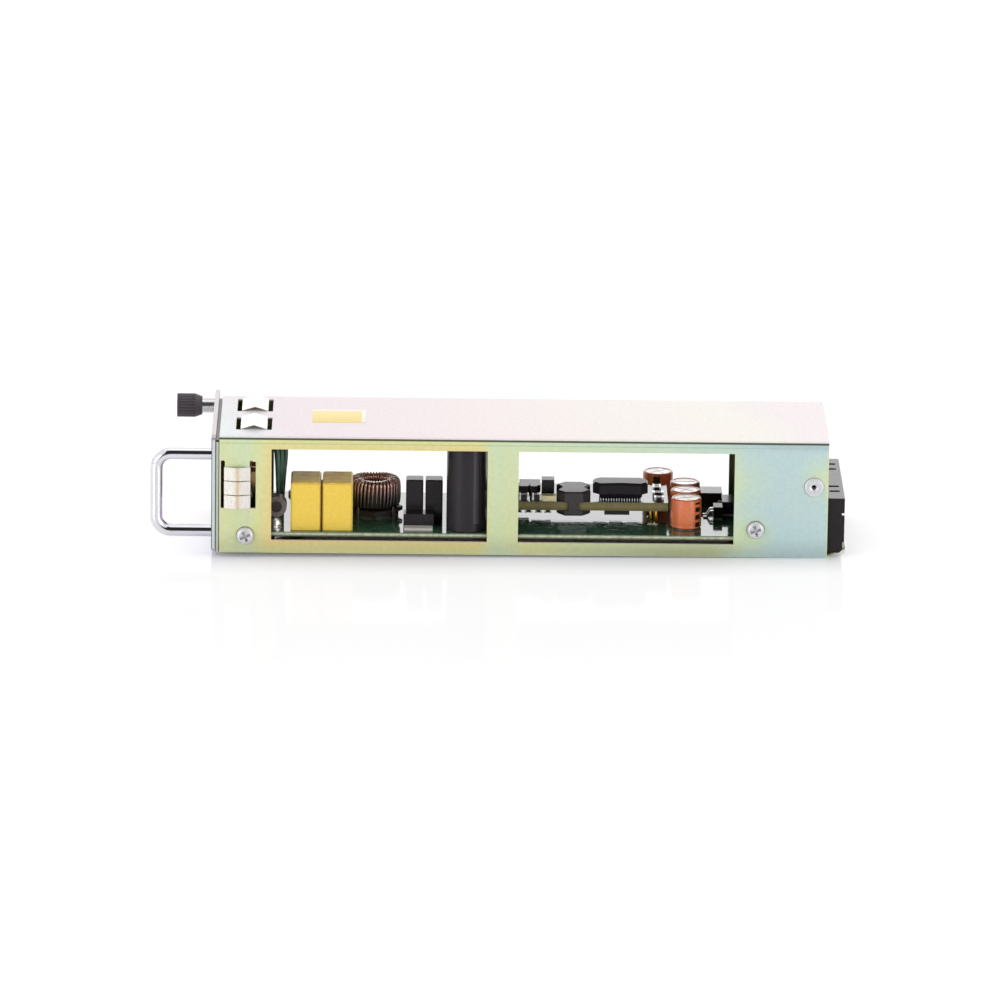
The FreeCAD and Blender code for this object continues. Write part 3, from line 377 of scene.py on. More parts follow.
def zincFinish(name):
    look = dict(
        # inner: painted shade on the walls' inner faces, dark olive
        inner=paint(104, 110, 72), cut=paint(252, 226, 216), lid=0.5 * mm, floor=0.5 * mm,
        grain=700.0, grainy=(0.35, 0.7), grainShade=paint(240, 240, 236), grainShare=0.5,
        rough=(0.30, 0.14), roughLid=0.15, metal=0.5, metalLid=0.35, speck=2600.0,
        relief=(0.05, 0.03 * mm),
    )
    finish = Finish(name)
    x, y, z = finish.axes()
    skin = outside - wall + sliver    # the wall's inner face
    within = (y.size() < outside - sliver) * (z < coverHigh.z - wall + sliver) * (z > look["floor"])
    cut = within * (y.size() > skin)
    # painted shade: the walls' inner faces painted dark olive
    colour = finish.mix(within * (y.size() < skin), zincBase(finish), look["inner"])
    # the cut edges painted pale pink: bare cut metal with a painted highlight
    colour = finish.mix(cut, colour, look["cut"])
    grain = finish.noise(look["grain"])
    grainy = grain.between(*look["grainy"]) * look["grainShare"]
    finish.tint(grainy, colour, look["grainShade"], "MULTIPLY")
    lid = z > coverHigh.z - look["lid"]
    finish.roughen(grain, look["rough"], lid * look["roughLid"])
    finish.put("Metallic", (look["metal"] - cut * look["metal"] - lid * look["metalLid"]).clear())
    finish.bump(finish.noise(look["speck"], 2.0), *look["relief"])
    return finish


def trayFinish():    # the same zinc, its front wall a bare pale edge between two lines of painted shadow in the gaps, and painted dark above the wall's top
    look = dict(edge=paint(196, 196, 190), gapShade=paint(52, 54, 50), half=0.38 * mm, under=38.0 * mm)
    finish = zincFinish("trayZinc")
    x, y, z = finish.axes()
    colour = Wire(finish, finish.shader.inputs["Base Color"].links[0].from_socket)
    front = (x < wall + sliver) * (x > -sliver)
    gapShade = (x - wall / 2).size() > look["half"]
    colour = finish.mix(front, colour, look["edge"])
    # painted shadow in the gaps beside the edge and above the wall's top
    finish.tint(front * gapShade.atLeast(z > look["under"]), colour, look["gapShade"])
    return finish


def plateFinish():    # clear zinc, faintly violet, its cut rim bluer with painted shade along the arris; its top edge and rear face painted darker as painted shade
    look = dict(
        drift=60.0, body=((0.3, paint(190, 182, 194)), (0.7, paint(208, 196, 202))), rim=paint(214, 224, 220),
        # painted shade: crown on the top edge, rear on the rear face, and along the rim's edges
        crown=paint(150, 144, 148), rear=paint(112, 106, 110), arrisShade=paint(104, 110, 114),
        edge=0.1 * mm, middle=0.75 * mm, half=0.47 * mm, speck=1800.0, metal=0.6, rough=(0.24, 0.12),
        relief=(0.05, 0.03 * mm),
    )
    finish = Finish("plateZinc", Metallic=look["metal"])
    x, y, z = finish.axes()
    drift = finish.noise(look["drift"])
    rim = y < look["edge"] - outside
    colour = finish.mix(rim, finish.ramp(drift, look["body"]), look["rim"])
    # painted shade on the top edge
    colour = finish.mix(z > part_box("front_plate")[1].z - look["edge"], colour, look["crown"])
    # painted shade on the rear face
    colour = finish.mix((x > -look["edge"]) * (1.0 - rim), colour, look["rear"])
    arrisShade = rim * ((x + look["middle"]).size() > look["half"])
    finish.tint(arrisShade, colour, look["arrisShade"])
    finish.roughen(drift, look["rough"])
    finish.bump(finish.noise(look["speck"], 2.0), *look["relief"])
    return finish


def grained(finish, marks, colour, roughness, look):    # marks that darken, roughen and lift
    least, rise = look["rough"]
    finish.tint(marks.between(*look["marked"]), colour, dimmed(colour, look["shade"]))
    finish.roughen(marks * roughness, (roughness * least, rise))
    finish.bump(marks, *look["relief"])
    return finish


def metalFinish(name, colour, roughness, grain=900.0, stretch=(1.0, 0.2, 1.0), wear=0.14, metallic=1.0):
    look = dict(marked=(0.35, 0.75), shade=1 - wear, rough=(0.8, 0.4), relief=(0.2 * wear, 0.02 * mm))
    finish = Finish(name, Metallic=metallic)
    return grained(finish, finish.noise(grain, 3.0, stretch), colour, roughness, look)


def plasticFinish(name, colour, roughness, grain=1500.0, relief=0.12, **more):
    look = dict(marked=(0.35, 0.75), shade=0.7, rough=(0.85, 0.3), relief=(relief, 0.04 * mm))
    finish = Finish(name, **more)
    return grained(finish, finish.noise(grain), colour, roughness, look)


def sensorFinish():    # black body, its top painted pale grey as a painted reflection
    look = dict(body=paint(40, 37, 40), lid=(paint(150, 149, 148), paint(128, 127, 128)), thick=0.1 * mm)
    finish = plasticFinish("sensorBlack", look["body"], 0.3, IOR=1.5)
    x, y, z = finish.axes()
    lid = finish.mix(finish.noise(1500.0, 2.0), *look["lid"])
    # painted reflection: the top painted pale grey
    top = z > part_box("current_sensor")[1].z - look["thick"]
    finish.tint(top, look["body"], lid)
    return finish


def fingerFinish():    # tinned spring sheet with a warm painted reflection along the crest
    look = dict(
        sheet=paint(226, 221, 215), crestReflection=paint(214, 192, 160), crest=sized(0.3, 1.3), reflectShare=0.8,
        spots=paint(196, 184, 160), spotted=(0.6, 0.75), spotShare=0.12, rough=(0.22, 0.12),
    )
    finish = Finish("fingerTin", Metallic=0.3, IOR=1.25)
    low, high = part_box("side_fingers_near")
    x, y, z = finish.axes()
    crest = (x - (low.x + high.x) / 2).size().fade(*look["crest"])
    # a warm painted reflection along the crest of the outer faces
    colour = finish.mix(crest * (y.size() > outside) * look["reflectShare"], look["sheet"], look["crestReflection"])
    spots = finish.noise(420.0, 2.0).between(*look["spotted"]) * look["spotShare"]
    finish.tint(spots, colour, look["spots"])
    streak = finish.noise(900.0, 2.0, (1.0, 1.0, 0.1))
    finish.roughen(streak, look["rough"])
    return finish


def filmFinish():    # yellow moulded box, brown resin looking through the top
    look = dict(
        body=(paint(241, 208, 94), paint(235, 198, 82)), speckled=(0.4, 0.8),
        resin=(paint(255, 218, 100), paint(244, 188, 72)), blotted=(0.42, 0.6), thick=0.35 * mm,
        rough=(0.26, 0.15), roughTop=0.1, relief=(0.12, 0.04 * mm),
    )
    finish = Finish("filmYellow", IOR=1.22)
    x, y, z = finish.axes()
    speck = finish.noise(900.0, 4.0)
    blot = finish.noise(420.0, 4.0, (0.6, 1.0, 1.0))
    body = finish.mix(speck.between(*look["speckled"]), *look["body"])
    resin = finish.mix(blot.between(*look["blotted"]), *look["resin"])
    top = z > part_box("film_capacitor_1")[1].z - look["thick"]
    finish.tint(top, body, resin)
    finish.roughen(speck, look["rough"], top * look["roughTop"])
    finish.bump(speck, *look["relief"])
    return finish


def boardFinish(name, mask, trace):    # glossy mask over faint copper
    look = dict(gloss=1.75, traces=(0.47, 0.5), rough=(0.04, 0.04), relief=(0.25, 0.02 * mm))
    finish = Finish(name, IOR=look["gloss"])
    copper = finish.noise(260.0, 1.0, (1.0, 2.2, 1.0)).between(*look["traces"])
    finish.tint(copper, mask, trace)
    finish.roughen(copper, look["rough"])
    finish.bump(copper, *look["relief"])
    return finish


def laminateFinish(name, heightBands, low, high):    # the cut edge of a board, coloured by height; on the main board the bands paint a highlight across the middle
    look = dict(gloss=1.35, rough=(0.45, 0.2), ragged=0.35, blotched=(0.4, 0.75), blotchShare=0.35)
    finish = Finish(name, IOR=look["gloss"])
    x, y, z = finish.axes()
    fibre = finish.noise(2600.0, 3.0, (0.35, 1.0, 1.0))
    blotch = finish.noise(500.0, 2.0, (1.0, 1.0, 0.3)).between(*look["blotched"]) * look["blotchShare"]
    rise = (z - low.z) / (high.z - low.z) + (fibre - 0.5) * look["ragged"]
    finish.tint(blotch, finish.ramp(rise.clear(), heightBands), heightBands[0][1])
    finish.roughen(fibre, look["rough"])
    return finish


def underFinish():    # the converter board's underside, with small parts' shadows
    look = dict(shades=(paint(30, 50, 38), paint(52, 76, 58)), patched=(0.4, 0.6), rough=(0.5, 0.2))
    finish = Finish("boardUnder", IOR=1.2)
    patch = finish.noise(330.0, 2.0)
    finish.tint(patch.between(*look["patched"]), *look["shades"])
    finish.roughen(patch, look["rough"])
    return finish


def sleeveFinish(name, base, dark, stripes, gap=0.0):    # shrunk sleeve, a plain stripe down each can's side
    look = dict(dash=0.62, speckled=(0.3, 0.8), shade=0.82, rough=(0.16, 0.12))
    finish = Finish(name)
    x, y, z = finish.axes()
    marks = 0.0
    for centre, angle, half, low, high, reach in stripes:
        dx, dy = x - centre.x, y - centre.y
        away = dx.reach(dy)
        towards = (dx * cos(angle) + dy * sin(angle)) / away.atLeast(1e-5)
        marks = (towards > cos(half)) * (away < reach) * (z > low) * (z < high) + marks
    if gap:    # dashes instead of a band
        marks = marks * ((z * (1 / gap)).fraction() < look["dash"])
    speck = finish.noise(1400.0, 2.0)
    body = finish.mix(speck.between(*look["speckled"]), base, dimmed(base, look["shade"]))
    # the stripe's colour: dark print on the output cans, a painted highlight on the bulk can
    finish.tint(marks.clear(), body, dark)
    finish.roughen(speck, look["rough"])
    return finish


def carried(finish, *names):    # CAD nodes that keep their own shape
    for name in names:
        part = nodes[name]
        part.data.materials.clear()
        part.data.materials.append(finish.material)
        for face in part.data.polygons:
            face.material_index = 0
    return finish


def boardEdges(name, edge, under):    # a board's cut edge and underside
    part = nodes[name]
    part.data.materials.append(edge.material)
    part.data.materials.append(under.material)
    for face in part.data.polygons:
        face.material_index = 0 if face.normal.z > 0.5 else 2 if face.normal.z < -0.5 else 1


springSteel = metalFinish("springSteel", paint(190, 190, 196), 0.3)
canAluminium = metalFinish("canAluminium", paint(182, 178, 178), 0.3)
tinned = metalFinish("tinned", paint(232, 232, 230), 0.35)
partBlack = plasticFinish("partBlack", paint(48, 44, 48), 0.22, IOR=1.26)
boardGreen = boardFinish("boardGreen", paint(52, 78, 62), paint(58, 92, 70))
boardOlive = boardFinish("boardOlive", paint(58, 62, 52), paint(86, 88, 78))
# the main board's edge: darker at the foot and top, with a painted highlight across the middle
greenEdgeHighlight = (
    (0.00, paint(58, 62, 46)), (0.28, paint(122, 128, 100)), (0.55, paint(206, 210, 186)),
    (0.72, paint(166, 176, 148)), (0.88, paint(120, 134, 110)), (1.00, paint(84, 102, 80)),
)
oliveLayers = ((0.00, paint(96, 90, 58)), (0.50, paint(128, 120, 80)), (1.00, paint(112, 104, 70)))
print("finishes made")

carried(zincFinish("caseZinc"), "cover")
carried(trayFinish(), "tray")
carried(plateFinish(), "front_plate")
carried(metalFinish("handleChrome", paint(226, 225, 231), 0.045, 300.0, wear=0.03), "handle")
brightSteel = metalFinish("brightSteel", paint(214, 214, 214), 0.22)
carried(brightSteel, "handle_screws", "screw_sleeve", "board_standoffs")
carried(plasticFinish("knobBlack", paint(84, 79, 83), 0.45, 2200.0, 0.4, IOR=1.35), "thumb_knob")
carried(tinned, "regulator_legs", "thrust_washer", "thumb_screw")
carried(
    fingerFinish(), "top_fingers_near", "top_fingers_far", "bottom_fingers_near", "bottom_fingers_far",
    "side_fingers_near", "side_fingers_far",
)
carried(plasticFinish("mouldBlack", paint(38, 33, 36), 0.25, IOR=1.3), "input_inlet", "rear_connector")
carried(metalFinish("bladeCopper", paint(222, 178, 132), 0.25), "inlet_blades", "power_blades")
carried(plasticFinish("ledLens", paint(150, 205, 150), 0.15), "status_led")
carried(boardGreen, "main_board")
carried(filmFinish(), "film_capacitor_1", "film_capacitor_2")
carried(plasticFinish("baseBlack", paint(64, 59, 61), 0.5, IOR=1.2), "choke_base")
carried(plasticFinish("beadBrown", paint(104, 92, 88), 0.4, 900.0, 0.3), "ferrite_bead")
carried(partBlack, "power_transistor", "regulators", "converter_driver", "box_capacitor_1", "box_capacitor_2")
carried(metalFinish("tabTin", paint(228, 224, 218), 0.5, metallic=0.25), "transistor_tab")
carried(boardOlive, "converter_board")
carried(
    plasticFinish("ferriteGrey", paint(58, 53, 56), 0.36, 1100.0, 0.3, IOR=1.5),
    "choke_core", "transformer_core_upper", "transformer_core_lower",
)
carried(plasticFinish("inductorBlack", paint(38, 34, 38), 0.24, IOR=1.24), "converter_inductor")
carried(plasticFinish("ceramicCream", paint(240, 228, 178), 0.4), "converter_ceramic")
carried(metalFinish("pinGold", paint(232, 190, 92), 0.18), "signal_pins", "converter_pins")
carried(sensorFinish(), "current_sensor")
carried(plasticFinish("partGrey", paint(150, 150, 152), 0.4), "output_fuse")
boardEdges("main_board", laminateFinish("greenEdge", greenEdgeHighlight, boardLow, boardHigh), boardGreen)
boardEdges("converter_board", laminateFinish("oliveEdge", oliveLayers, brickLow, brickHigh), underFinish())
print("carried parts finished")


# a pan head with a cross recess; head and shank are (radius, length)
def addScrew(made, seat, axis, head, shank, look, turn):
    headR, headLong = head
    shankR, shankLong = shank
    ahead = Vector(axis)
    level = Vector((0, 0, 1)) if abs(ahead.z) < 0.5 else Vector((1, 0, 0))
    side = level.cross(ahead).normalized()
    level = ahead.cross(side)
    stand = Matrix((side, level, ahead)).transposed().to_4x4()
    local = bmesh.new()
    foot = headR * look["foot"]
    dome = roundOff(headLong, headLong * look["crown"], headR, headR * look["crownIn"])
    rim = addLathe(local, [(0.0, foot), (headLong * look["flare"], headR)] + dome, (0, 0, 0), steps=36)[-1]
    arm, half = look["arm"], look["half"]
    outline = []
    for k in range(4):
        turned = Matrix.Rotation(pi / 2 * k, 3, "Z")
        for across, up in ((arm, -half), (arm, half), (half, half)):
            outline.append(turned @ Vector((across, up, headLong)))
    upper = [local.verts.new(spot) for spot in outline]
    floor, draft = headLong - look["deep"], look["draft"]
    lower = [local.verts.new((spot.x * draft, spot.y * draft, floor)) for spot in outline]
    edges = []
    for ring in (rim, upper):    # the head's face lies between the two
        for i, vert in enumerate(ring):
            ends = (vert, ring[(i + 1) % len(ring)])
            edges.append(local.edges.get(ends) or local.edges.new(ends))
    bmesh.ops.triangle_fill(local, use_beauty=True, edges=edges)
    for i in range(len(upper)):
        j = (i + 1) % len(upper)
        # the recess faces take the second material, painted shade
        local.faces.new((upper[i], upper[j], lower[j], lower[i])).material_index = 1
    local.faces.new(lower).material_index = 1
    tip = [(-shankLong, 0.0), (-shankLong, shankR * look["tip"])]
    shaft = [(-shankLong + shankR * look["taper"], shankR), (0.0, shankR), (0.0, foot)]
    addLathe(local, tip + shaft, (0, 0, 0), steps=24)
    local.transform(Matrix.Translation(seat) @ stand @ Matrix.Rotation(turn, 4, "Z"))
    mesh = bpy.data.meshes.new("screw")
    local.to_mesh(mesh)
    local.free()
    made.from_mesh(mesh)
    bpy.data.meshes.remove(mesh)


def makeScrews():
    look = dict(
        # recessShade: painted shade inside the cross recess
        nickel=paint(218, 218, 221), rough=0.42, metal=0.45, recessShade=paint(60, 62, 68), recessRough=0.4,
        foot=0.97, flare=0.12, crown=0.55, crownIn=0.36, draft=0.7, tip=0.8, taper=0.3,
        arm=1.95 * mm, half=0.46 * mm, deep=1.3 * mm, tall=2.0 * mm, shank=1.5 * mm, trim=0.12 * mm,
        turns=(0.4, 0.4, 0.3, 0.3),
    )
    small = dict(
        look, arm=1.3 * mm, half=0.34 * mm, deep=0.8 * mm, shank=1.2 * mm, shankLong=1.4 * mm, turn=0.5,
    )
    finish = metalFinish("screwNickel", look["nickel"], look["rough"], metallic=look["metal"])
    # painted shade on the cross recess faces
    recessShade = metalFinish("screwRecessShade", look["recessShade"], look["recessRough"])
    made = bmesh.new()
    for (low, high), turn in zip(solidsOf("cover_screws"), look["turns"]):
        out = -1.0 if low.y < 0 else 1.0
        middle = middleOf(low, high)
        tip = min(abs(low.y), abs(high.y))
        head = (halfWidth(low, high) - look["trim"], look["tall"])
        seat = Vector((middle.x, out * outside, middle.z))
        addScrew(made, seat, (0, out, 0), head, (look["shank"], outside - tip), look, turn)
    piece = meshPiece("caseScrews", made, finish, sharp=40)
    piece.data.materials.append(recessShade.material)
    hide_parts("cover_screws")
    made = bmesh.new()
    for i, (low, high) in enumerate(solidsOf("board_screws")):
        middle = middleOf(low, high)
        head = (halfWidth(low, high), high.z - low.z)
        seat = Vector((middle.x, middle.y, low.z))
        addScrew(made, seat, (0, 0, 1), head, (small["shank"], small["shankLong"]), small, small["turn"] * i)
    piece = meshPiece("boardScrews", made, finish, sharp=40)
    piece.data.materials.append(recessShade.material)
    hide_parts("board_screws")


makeScrews()


def makeRivets():    # hollow rivets: a rolled flange round a shallow dish and a dark bore
    look = dict(
        nickel=paint(220, 220, 224), rough=0.42, metal=0.45, foot=0.95, flare=0.3,
        roll=0.5 * mm, rollDrop=0.5, bore=0.85 * mm, boreDeep=0.5 * mm, boreFlare=1.25,
        dish=1.9 * mm, dishIn=0.2 * mm, dishDeep=0.25 * mm, dishEdge=0.98, dishFloor=1.3, shank=2.0 * mm,
    )
    finish = metalFinish("rivetNickel", look["nickel"], look["rough"], metallic=look["metal"])
    made = bmesh.new()
    for low, high in solidsOf("rear_rivets"):
        out = -1.0 if low.y < 0 else 1.0
        middle = middleOf(low, high)
        r = halfWidth(low, high)
        h = max(abs(low.y), abs(high.y)) - outside
        tail = min(abs(low.y), abs(high.y)) - outside
        profile = [(0.0, r * look["foot"]), (h * look["flare"], r)]
        profile += roundOff(h, h * look["rollDrop"], r, look["roll"], 5)
        dish, deep = look["dish"], look["dishDeep"]
        profile += [(h * look["dishEdge"], dish), (h - deep, dish - look["dishIn"])]
        profile += [(h - deep * look["dishFloor"], look["bore"] * look["boreFlare"])]
        profile += [(h - look["boreDeep"], look["bore"]), (tail, look["bore"])]
        profile += [(tail, look["shank"]), (0.0, look["shank"]), (0.0, r * look["foot"])]
        addLathe(made, profile, (middle.x, out * outside, middle.z), (0, out, 0))
    piece = meshPiece("caseRivets", made, finish)
    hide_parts("rear_rivets")


makeRivets()


def makePost():    # washers and a domed nut under the bead
    look = dict(    # heights in sixths of the whole, radii as shares of the widest
        rings=(
            (0.0, 0.0), (0.0, 1.0), (0.7, 1.0), (0.8, 0.62), (1.2, 0.62),
            (1.3, 0.92), (1.9, 0.92), (2.0, 0.7), (2.4, 0.7),
        ),
        domeFrom=2.6, domeRise=3.4, domeRound=0.86, domeCone=0.12,
    )
    low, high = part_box("terminal_post")
    centre, r = standing(low, high)
    step = (high.z - low.z) / 6
    profile = [(low.z + step * up, r * share) for up, share in look["rings"]]
    for k in range(7):
        t = pi / 2 * k / 6
        share = look["domeRound"] * cos(t) + look["domeCone"] * (1 - k / 6)
        profile.append((low.z + step * (look["domeFrom"] + look["domeRise"] * sin(t)), r * share))
    piece = turnedPiece("terminalNut", profile, centre, tinned, steps=36)
    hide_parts("terminal_post")


makePost()


def makeBeadCore():    # a dark plug that fills the bead's bore, standing in for the shade inside it
    look = dict(gap=0.03 * mm, sunk=0.5 * mm, bore=1.9 * mm)
    low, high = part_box("ferrite_bead")
    finish = plasticFinish("beadBoreShade", paint(44, 34, 32), 0.5)
    r, long = look["bore"] - look["gap"], (high.y - low.y) / 2 - look["sunk"]
    profile = [(-long, 0.0), (-long, r), (long, r), (long, 0.0)]
    turnedPiece("beadCore", profile, middleOf(low, high), finish, (0, 1, 0), 28)


makeBeadCore()
print("screws, rivets and post made")


def makeSticker():
    look = dict(
        margin=1.4 * mm, side=1.6 * mm, bevel=0.03 * mm, border=paint(230, 226, 214),
        shades=(paint(232, 210, 130), paint(226, 200, 116)), grain=1200.0, grainy=(0.3, 0.8),
        rough=(0.4, 0.1), relief=(0.05, 0.03 * mm),
    )
    low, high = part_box("blank_label")
    finish = Finish("stickerYellow")
    x, y, z = finish.axes()
    grain = finish.noise(look["grain"], 2.0)
    border = (x > high.x - look["margin"]).atLeast(y > high.y - look["side"])
    inner = finish.mix(grain.between(*look["grainy"]), *look["shades"])
    finish.tint(border, inner, look["border"])
    finish.roughen(grain, look["rough"])
    finish.bump(grain, *look["relief"])
    made = bmesh.new()
    addBox(made, low, high, look["bevel"])
    piece = meshPiece("blankSticker", made, finish)
    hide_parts("blank_label")


makeSticker()


def makeWinding():    # one enamelled wire round the core, its two ends led down to the board
    look = dict(
        turns=38, steps=16, wire=0.42 * mm, inner=4.2 * mm, squareness=0.55, start=200.0, share=0.985,
        shades=((0.25, paint(150, 102, 86)), (0.55, paint(204, 156, 138)), (0.85, paint(246, 218, 206))),
        # lowerShade: painted shade over the lower turns
        lowerShade=paint(66, 57, 57), shadedSpan=(-0.15, 0.85), burn=300.0, rough=(0.16, 0.16),
        ends=((-5.5, -6.0), (6.2, -5.6)), endShade=paint(84, 76, 74), endRough=0.35, lean=0.4 * mm,
        bends=sized(1.0, 0.6),
    )
    low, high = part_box("choke_winding")
    centre = middleOf(low, high)
    outer = halfWidth(low, high) - look["wire"]
    inner = look["inner"] + look["wire"]
    ringR, ringA = (outer + inner) / 2, (outer - inner) / 2
    ringB = (high.z - low.z) / 2 - look["wire"]
    finish = Finish("windingCopper", Metallic=0.7, Coat_Weight=1.0, Coat_Roughness=0.06)
    x, y, z = finish.axes()
    burn = finish.noise(look["burn"])
    copper = finish.ramp(burn, look["shades"])
    # painted shade, darker towards the bottom of the winding
    lowerShade = z.fade(*(centre.z + ringB * share for share in look["shadedSpan"]))
    finish.tint(lowerShade, copper, look["lowerShade"])
    finish.roughen(burn, look["rough"])

    def bulge(value):    # squarer than a circle
        return copysign(abs(value) ** look["squareness"], value)

    points = []
    total = look["turns"] * look["steps"]
    for i in range(total):
        around = 2 * pi * i / total * look["share"] + radians(look["start"])
        section = 2 * pi * i / look["steps"]
        r = ringR + ringA * bulge(cos(section))
        up = centre.z + ringB * bulge(sin(section))
        points.append((centre.x + r * cos(around), centre.y + r * sin(around), up))
    piece = tubePiece("chokeWinding", points, look["wire"], finish, sides=8)
    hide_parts("choke_winding")
    # the ends take a darker copy of copper, painted shade under the choke
    endCopperShaded = metalFinish("endCopperShaded", look["endShade"], look["endRough"])
    above, below = look["bends"]
    foot = boardHigh.z
    for i, (dx, dy) in enumerate(look["ends"]):
        x, y = centre.x + dx * mm, centre.y + dy * mm
        nearer = y - look["lean"]
        route = [(x, y, low.z + above), (x, nearer, low.z - below)]
        route += [(x, nearer, foot + below), (x, nearer, foot)]
        tubePiece("windingEnd%d" % (i + 1), route, look["wire"], endCopperShaded, sides=8)


makeWinding()
print("choke wound")


def makeFilmGlue():    # holds the two film capacitors together, below their tops
    look = dict(inset=0.25 * mm, deep=8.0 * mm, drop=0.9 * mm, bevel=0.05 * mm)
    near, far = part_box("film_capacitor_1"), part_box("film_capacitor_2")
    glue = plasticFinish("glueBrown", paint(92, 60, 34), 0.5, IOR=1.25)
    made = bmesh.new()
    y = near[0].y + look["inset"]
    top = near[1].z - look["drop"]
    addBox(made, (near[1].x, y, boardHigh.z), (far[0].x, y + look["deep"], top), look["bevel"])
    meshPiece("filmGlue", made, glue)


makeFilmGlue()
print("film capacitors glued")


def addScore(made, centre, angle, long, look):    # a low ridge across a can's top
    along = Vector((cos(radians(angle)), sin(radians(angle)), 0))
    arm = along * long
    side = Vector((-along.y, along.x, 0)) * look["score"] / 2
    lift, end = Vector((0, 0, look["scoreRise"])), look["scoreEnd"]
    foot = [made.verts.new(centre + corner) for corner in (arm + side, -arm + side, -arm - side, arm - side)]
    ridge = [made.verts.new(centre + corner + lift) for corner in (arm * end, arm * -end)]
    made.faces.new((foot[0], foot[1], ridge[1], ridge[0]))
    made.faces.new((foot[2], foot[3], ridge[0], ridge[1]))


def makeOutputCans():    # a shrunk sleeve over each aluminium can, whose scored top shows
    look = dict(
        sleeve=0.2 * mm, copper=paint(232, 127, 80), dark=paint(48, 30, 28),
        half=13.0, turned=(-42.0, 40.0, 60.0, -96.0), dash=2.6 * mm, stripeLow=0.4 * mm, stripeHigh=0.9 * mm,
        foot=((0.15, 0.7), (0.25, 0.35), (0.6, 0.02)), base=((0, 0.45), (0.2, 0.4)),    # (up, in)
        groove=1.5 * mm, grooveFrom=0.55, grooveLong=0.9, grooveDeep=0.07 * mm,
        shoulder=0.7 * mm, lip=((-0.05, 1.05), (-0.12, 1.05)),
        lid=((-0.4, 0.3), (-0.12, 0.95), (-0.16, 1.2)), lidLow=0.16 * mm,
        score=0.16 * mm, scoreIn=1.7 * mm, scoreLow=0.14 * mm, scoreRise=0.05 * mm, scoreEnd=0.98,
        firstScore=20, scoreStep=35,
    )
    cans = [solidsOf("output_can_%d" % i)[0] for i in range(1, 5)]
    stripes = []
    for (low, high), turned in zip(cans, look["turned"]):
        centre, r = standing(low, high)
        ends = (low.z + look["stripeLow"], high.z - look["stripeHigh"])
        stripes.append((centre, radians(turned), radians(look["half"]), *ends, r + 0.5 * mm))
    plain = sleeveFinish("sleeveCopper", look["copper"], look["dark"], stripes[3:])
    dashed = sleeveFinish("sleeveCopperDashed", look["copper"], look["dark"], stripes[:3], look["dash"])
    for i, (low, high) in enumerate(cans):
        centre, r = standing(low, high)
        r += look["sleeve"]
        skin = stepped(low.z, r, look["foot"])
        for k in range(9):
            t = k / 8
            up = low.z + look["groove"] * (look["grooveFrom"] + look["grooveLong"] * t)
            skin.append((up, r - look["grooveDeep"] * sin(pi * t) ** 2))
        skin += roundOff(high.z, look["shoulder"], r, look["shoulder"])
        skin += stepped(high.z, r, look["lip"])
        sleeve = plain if i == 3 else dashed
        piece = turnedPiece("outputSleeve%d" % (i + 1), skin, centre, sleeve, steps=64)
        if i == 0:
            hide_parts("output_sleeves")
        made = bmesh.new()
        lid = stepped(high.z, r, look["lid"]) + [(high.z - look["lidLow"], 0.0)]
        addLathe(made, lid, centre, steps=64)
        first = look["firstScore"] + look["scoreStep"] * i
        for angle in (first, first + 90):
            top = centre + Vector((0, 0, high.z - look["scoreLow"]))
            addScore(made, top, angle, r - look["scoreIn"], look)
        addLathe(made, [(low.z, 0.0)] + stepped(low.z, r, look["base"]), centre)
        piece = meshPiece("outputTop%d" % (i + 1), made, canAluminium)
        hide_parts("output_can_%d" % (i + 1))


makeOutputCans()


def makeBulkCan():
    look = dict(
        foot=((0, 0.3), (0.2, 0)), shoulder=0.9 * mm, lid=((-0.1, 1.3), (-0.25, 1.6)), lidLow=0.25 * mm,
        # stripe: where a lighter band, a painted highlight, runs down the can's side
        stripe=(-62.0, 9.0), stripeLow=3 * mm, stripeHigh=2 * mm, body=paint(50, 46, 51),
        highlightBand=paint(68, 64, 71), gloss=1.25,
    )
    low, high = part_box("bulk_capacitor")
    centre, r = standing(low, high)
    angle, half = (radians(a) for a in look["stripe"])
    stripe = (centre, angle, half, low.z + look["stripeLow"], high.z - look["stripeHigh"], r + 1 * mm)
    sleeve = sleeveFinish("canSleeveBlack", look["body"], look["highlightBand"], [stripe])
    sleeve.put("IOR", look["gloss"])
    lid = stepped(high.z, r, look["lid"])
    skin = [(low.z, 0.0)] + stepped(low.z, r, look["foot"])
    skin += roundOff(high.z, look["shoulder"], r, look["shoulder"]) + lid[:1]
    piece = turnedPiece("bulkSleeve", skin, centre, sleeve, steps=72)
    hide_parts("bulk_capacitor")
    lid.append((high.z - look["lidLow"], 0.0))
    turnedPiece("bulkTop", lid, centre, canAluminium)


makeBulkCan()
print("capacitors finished")


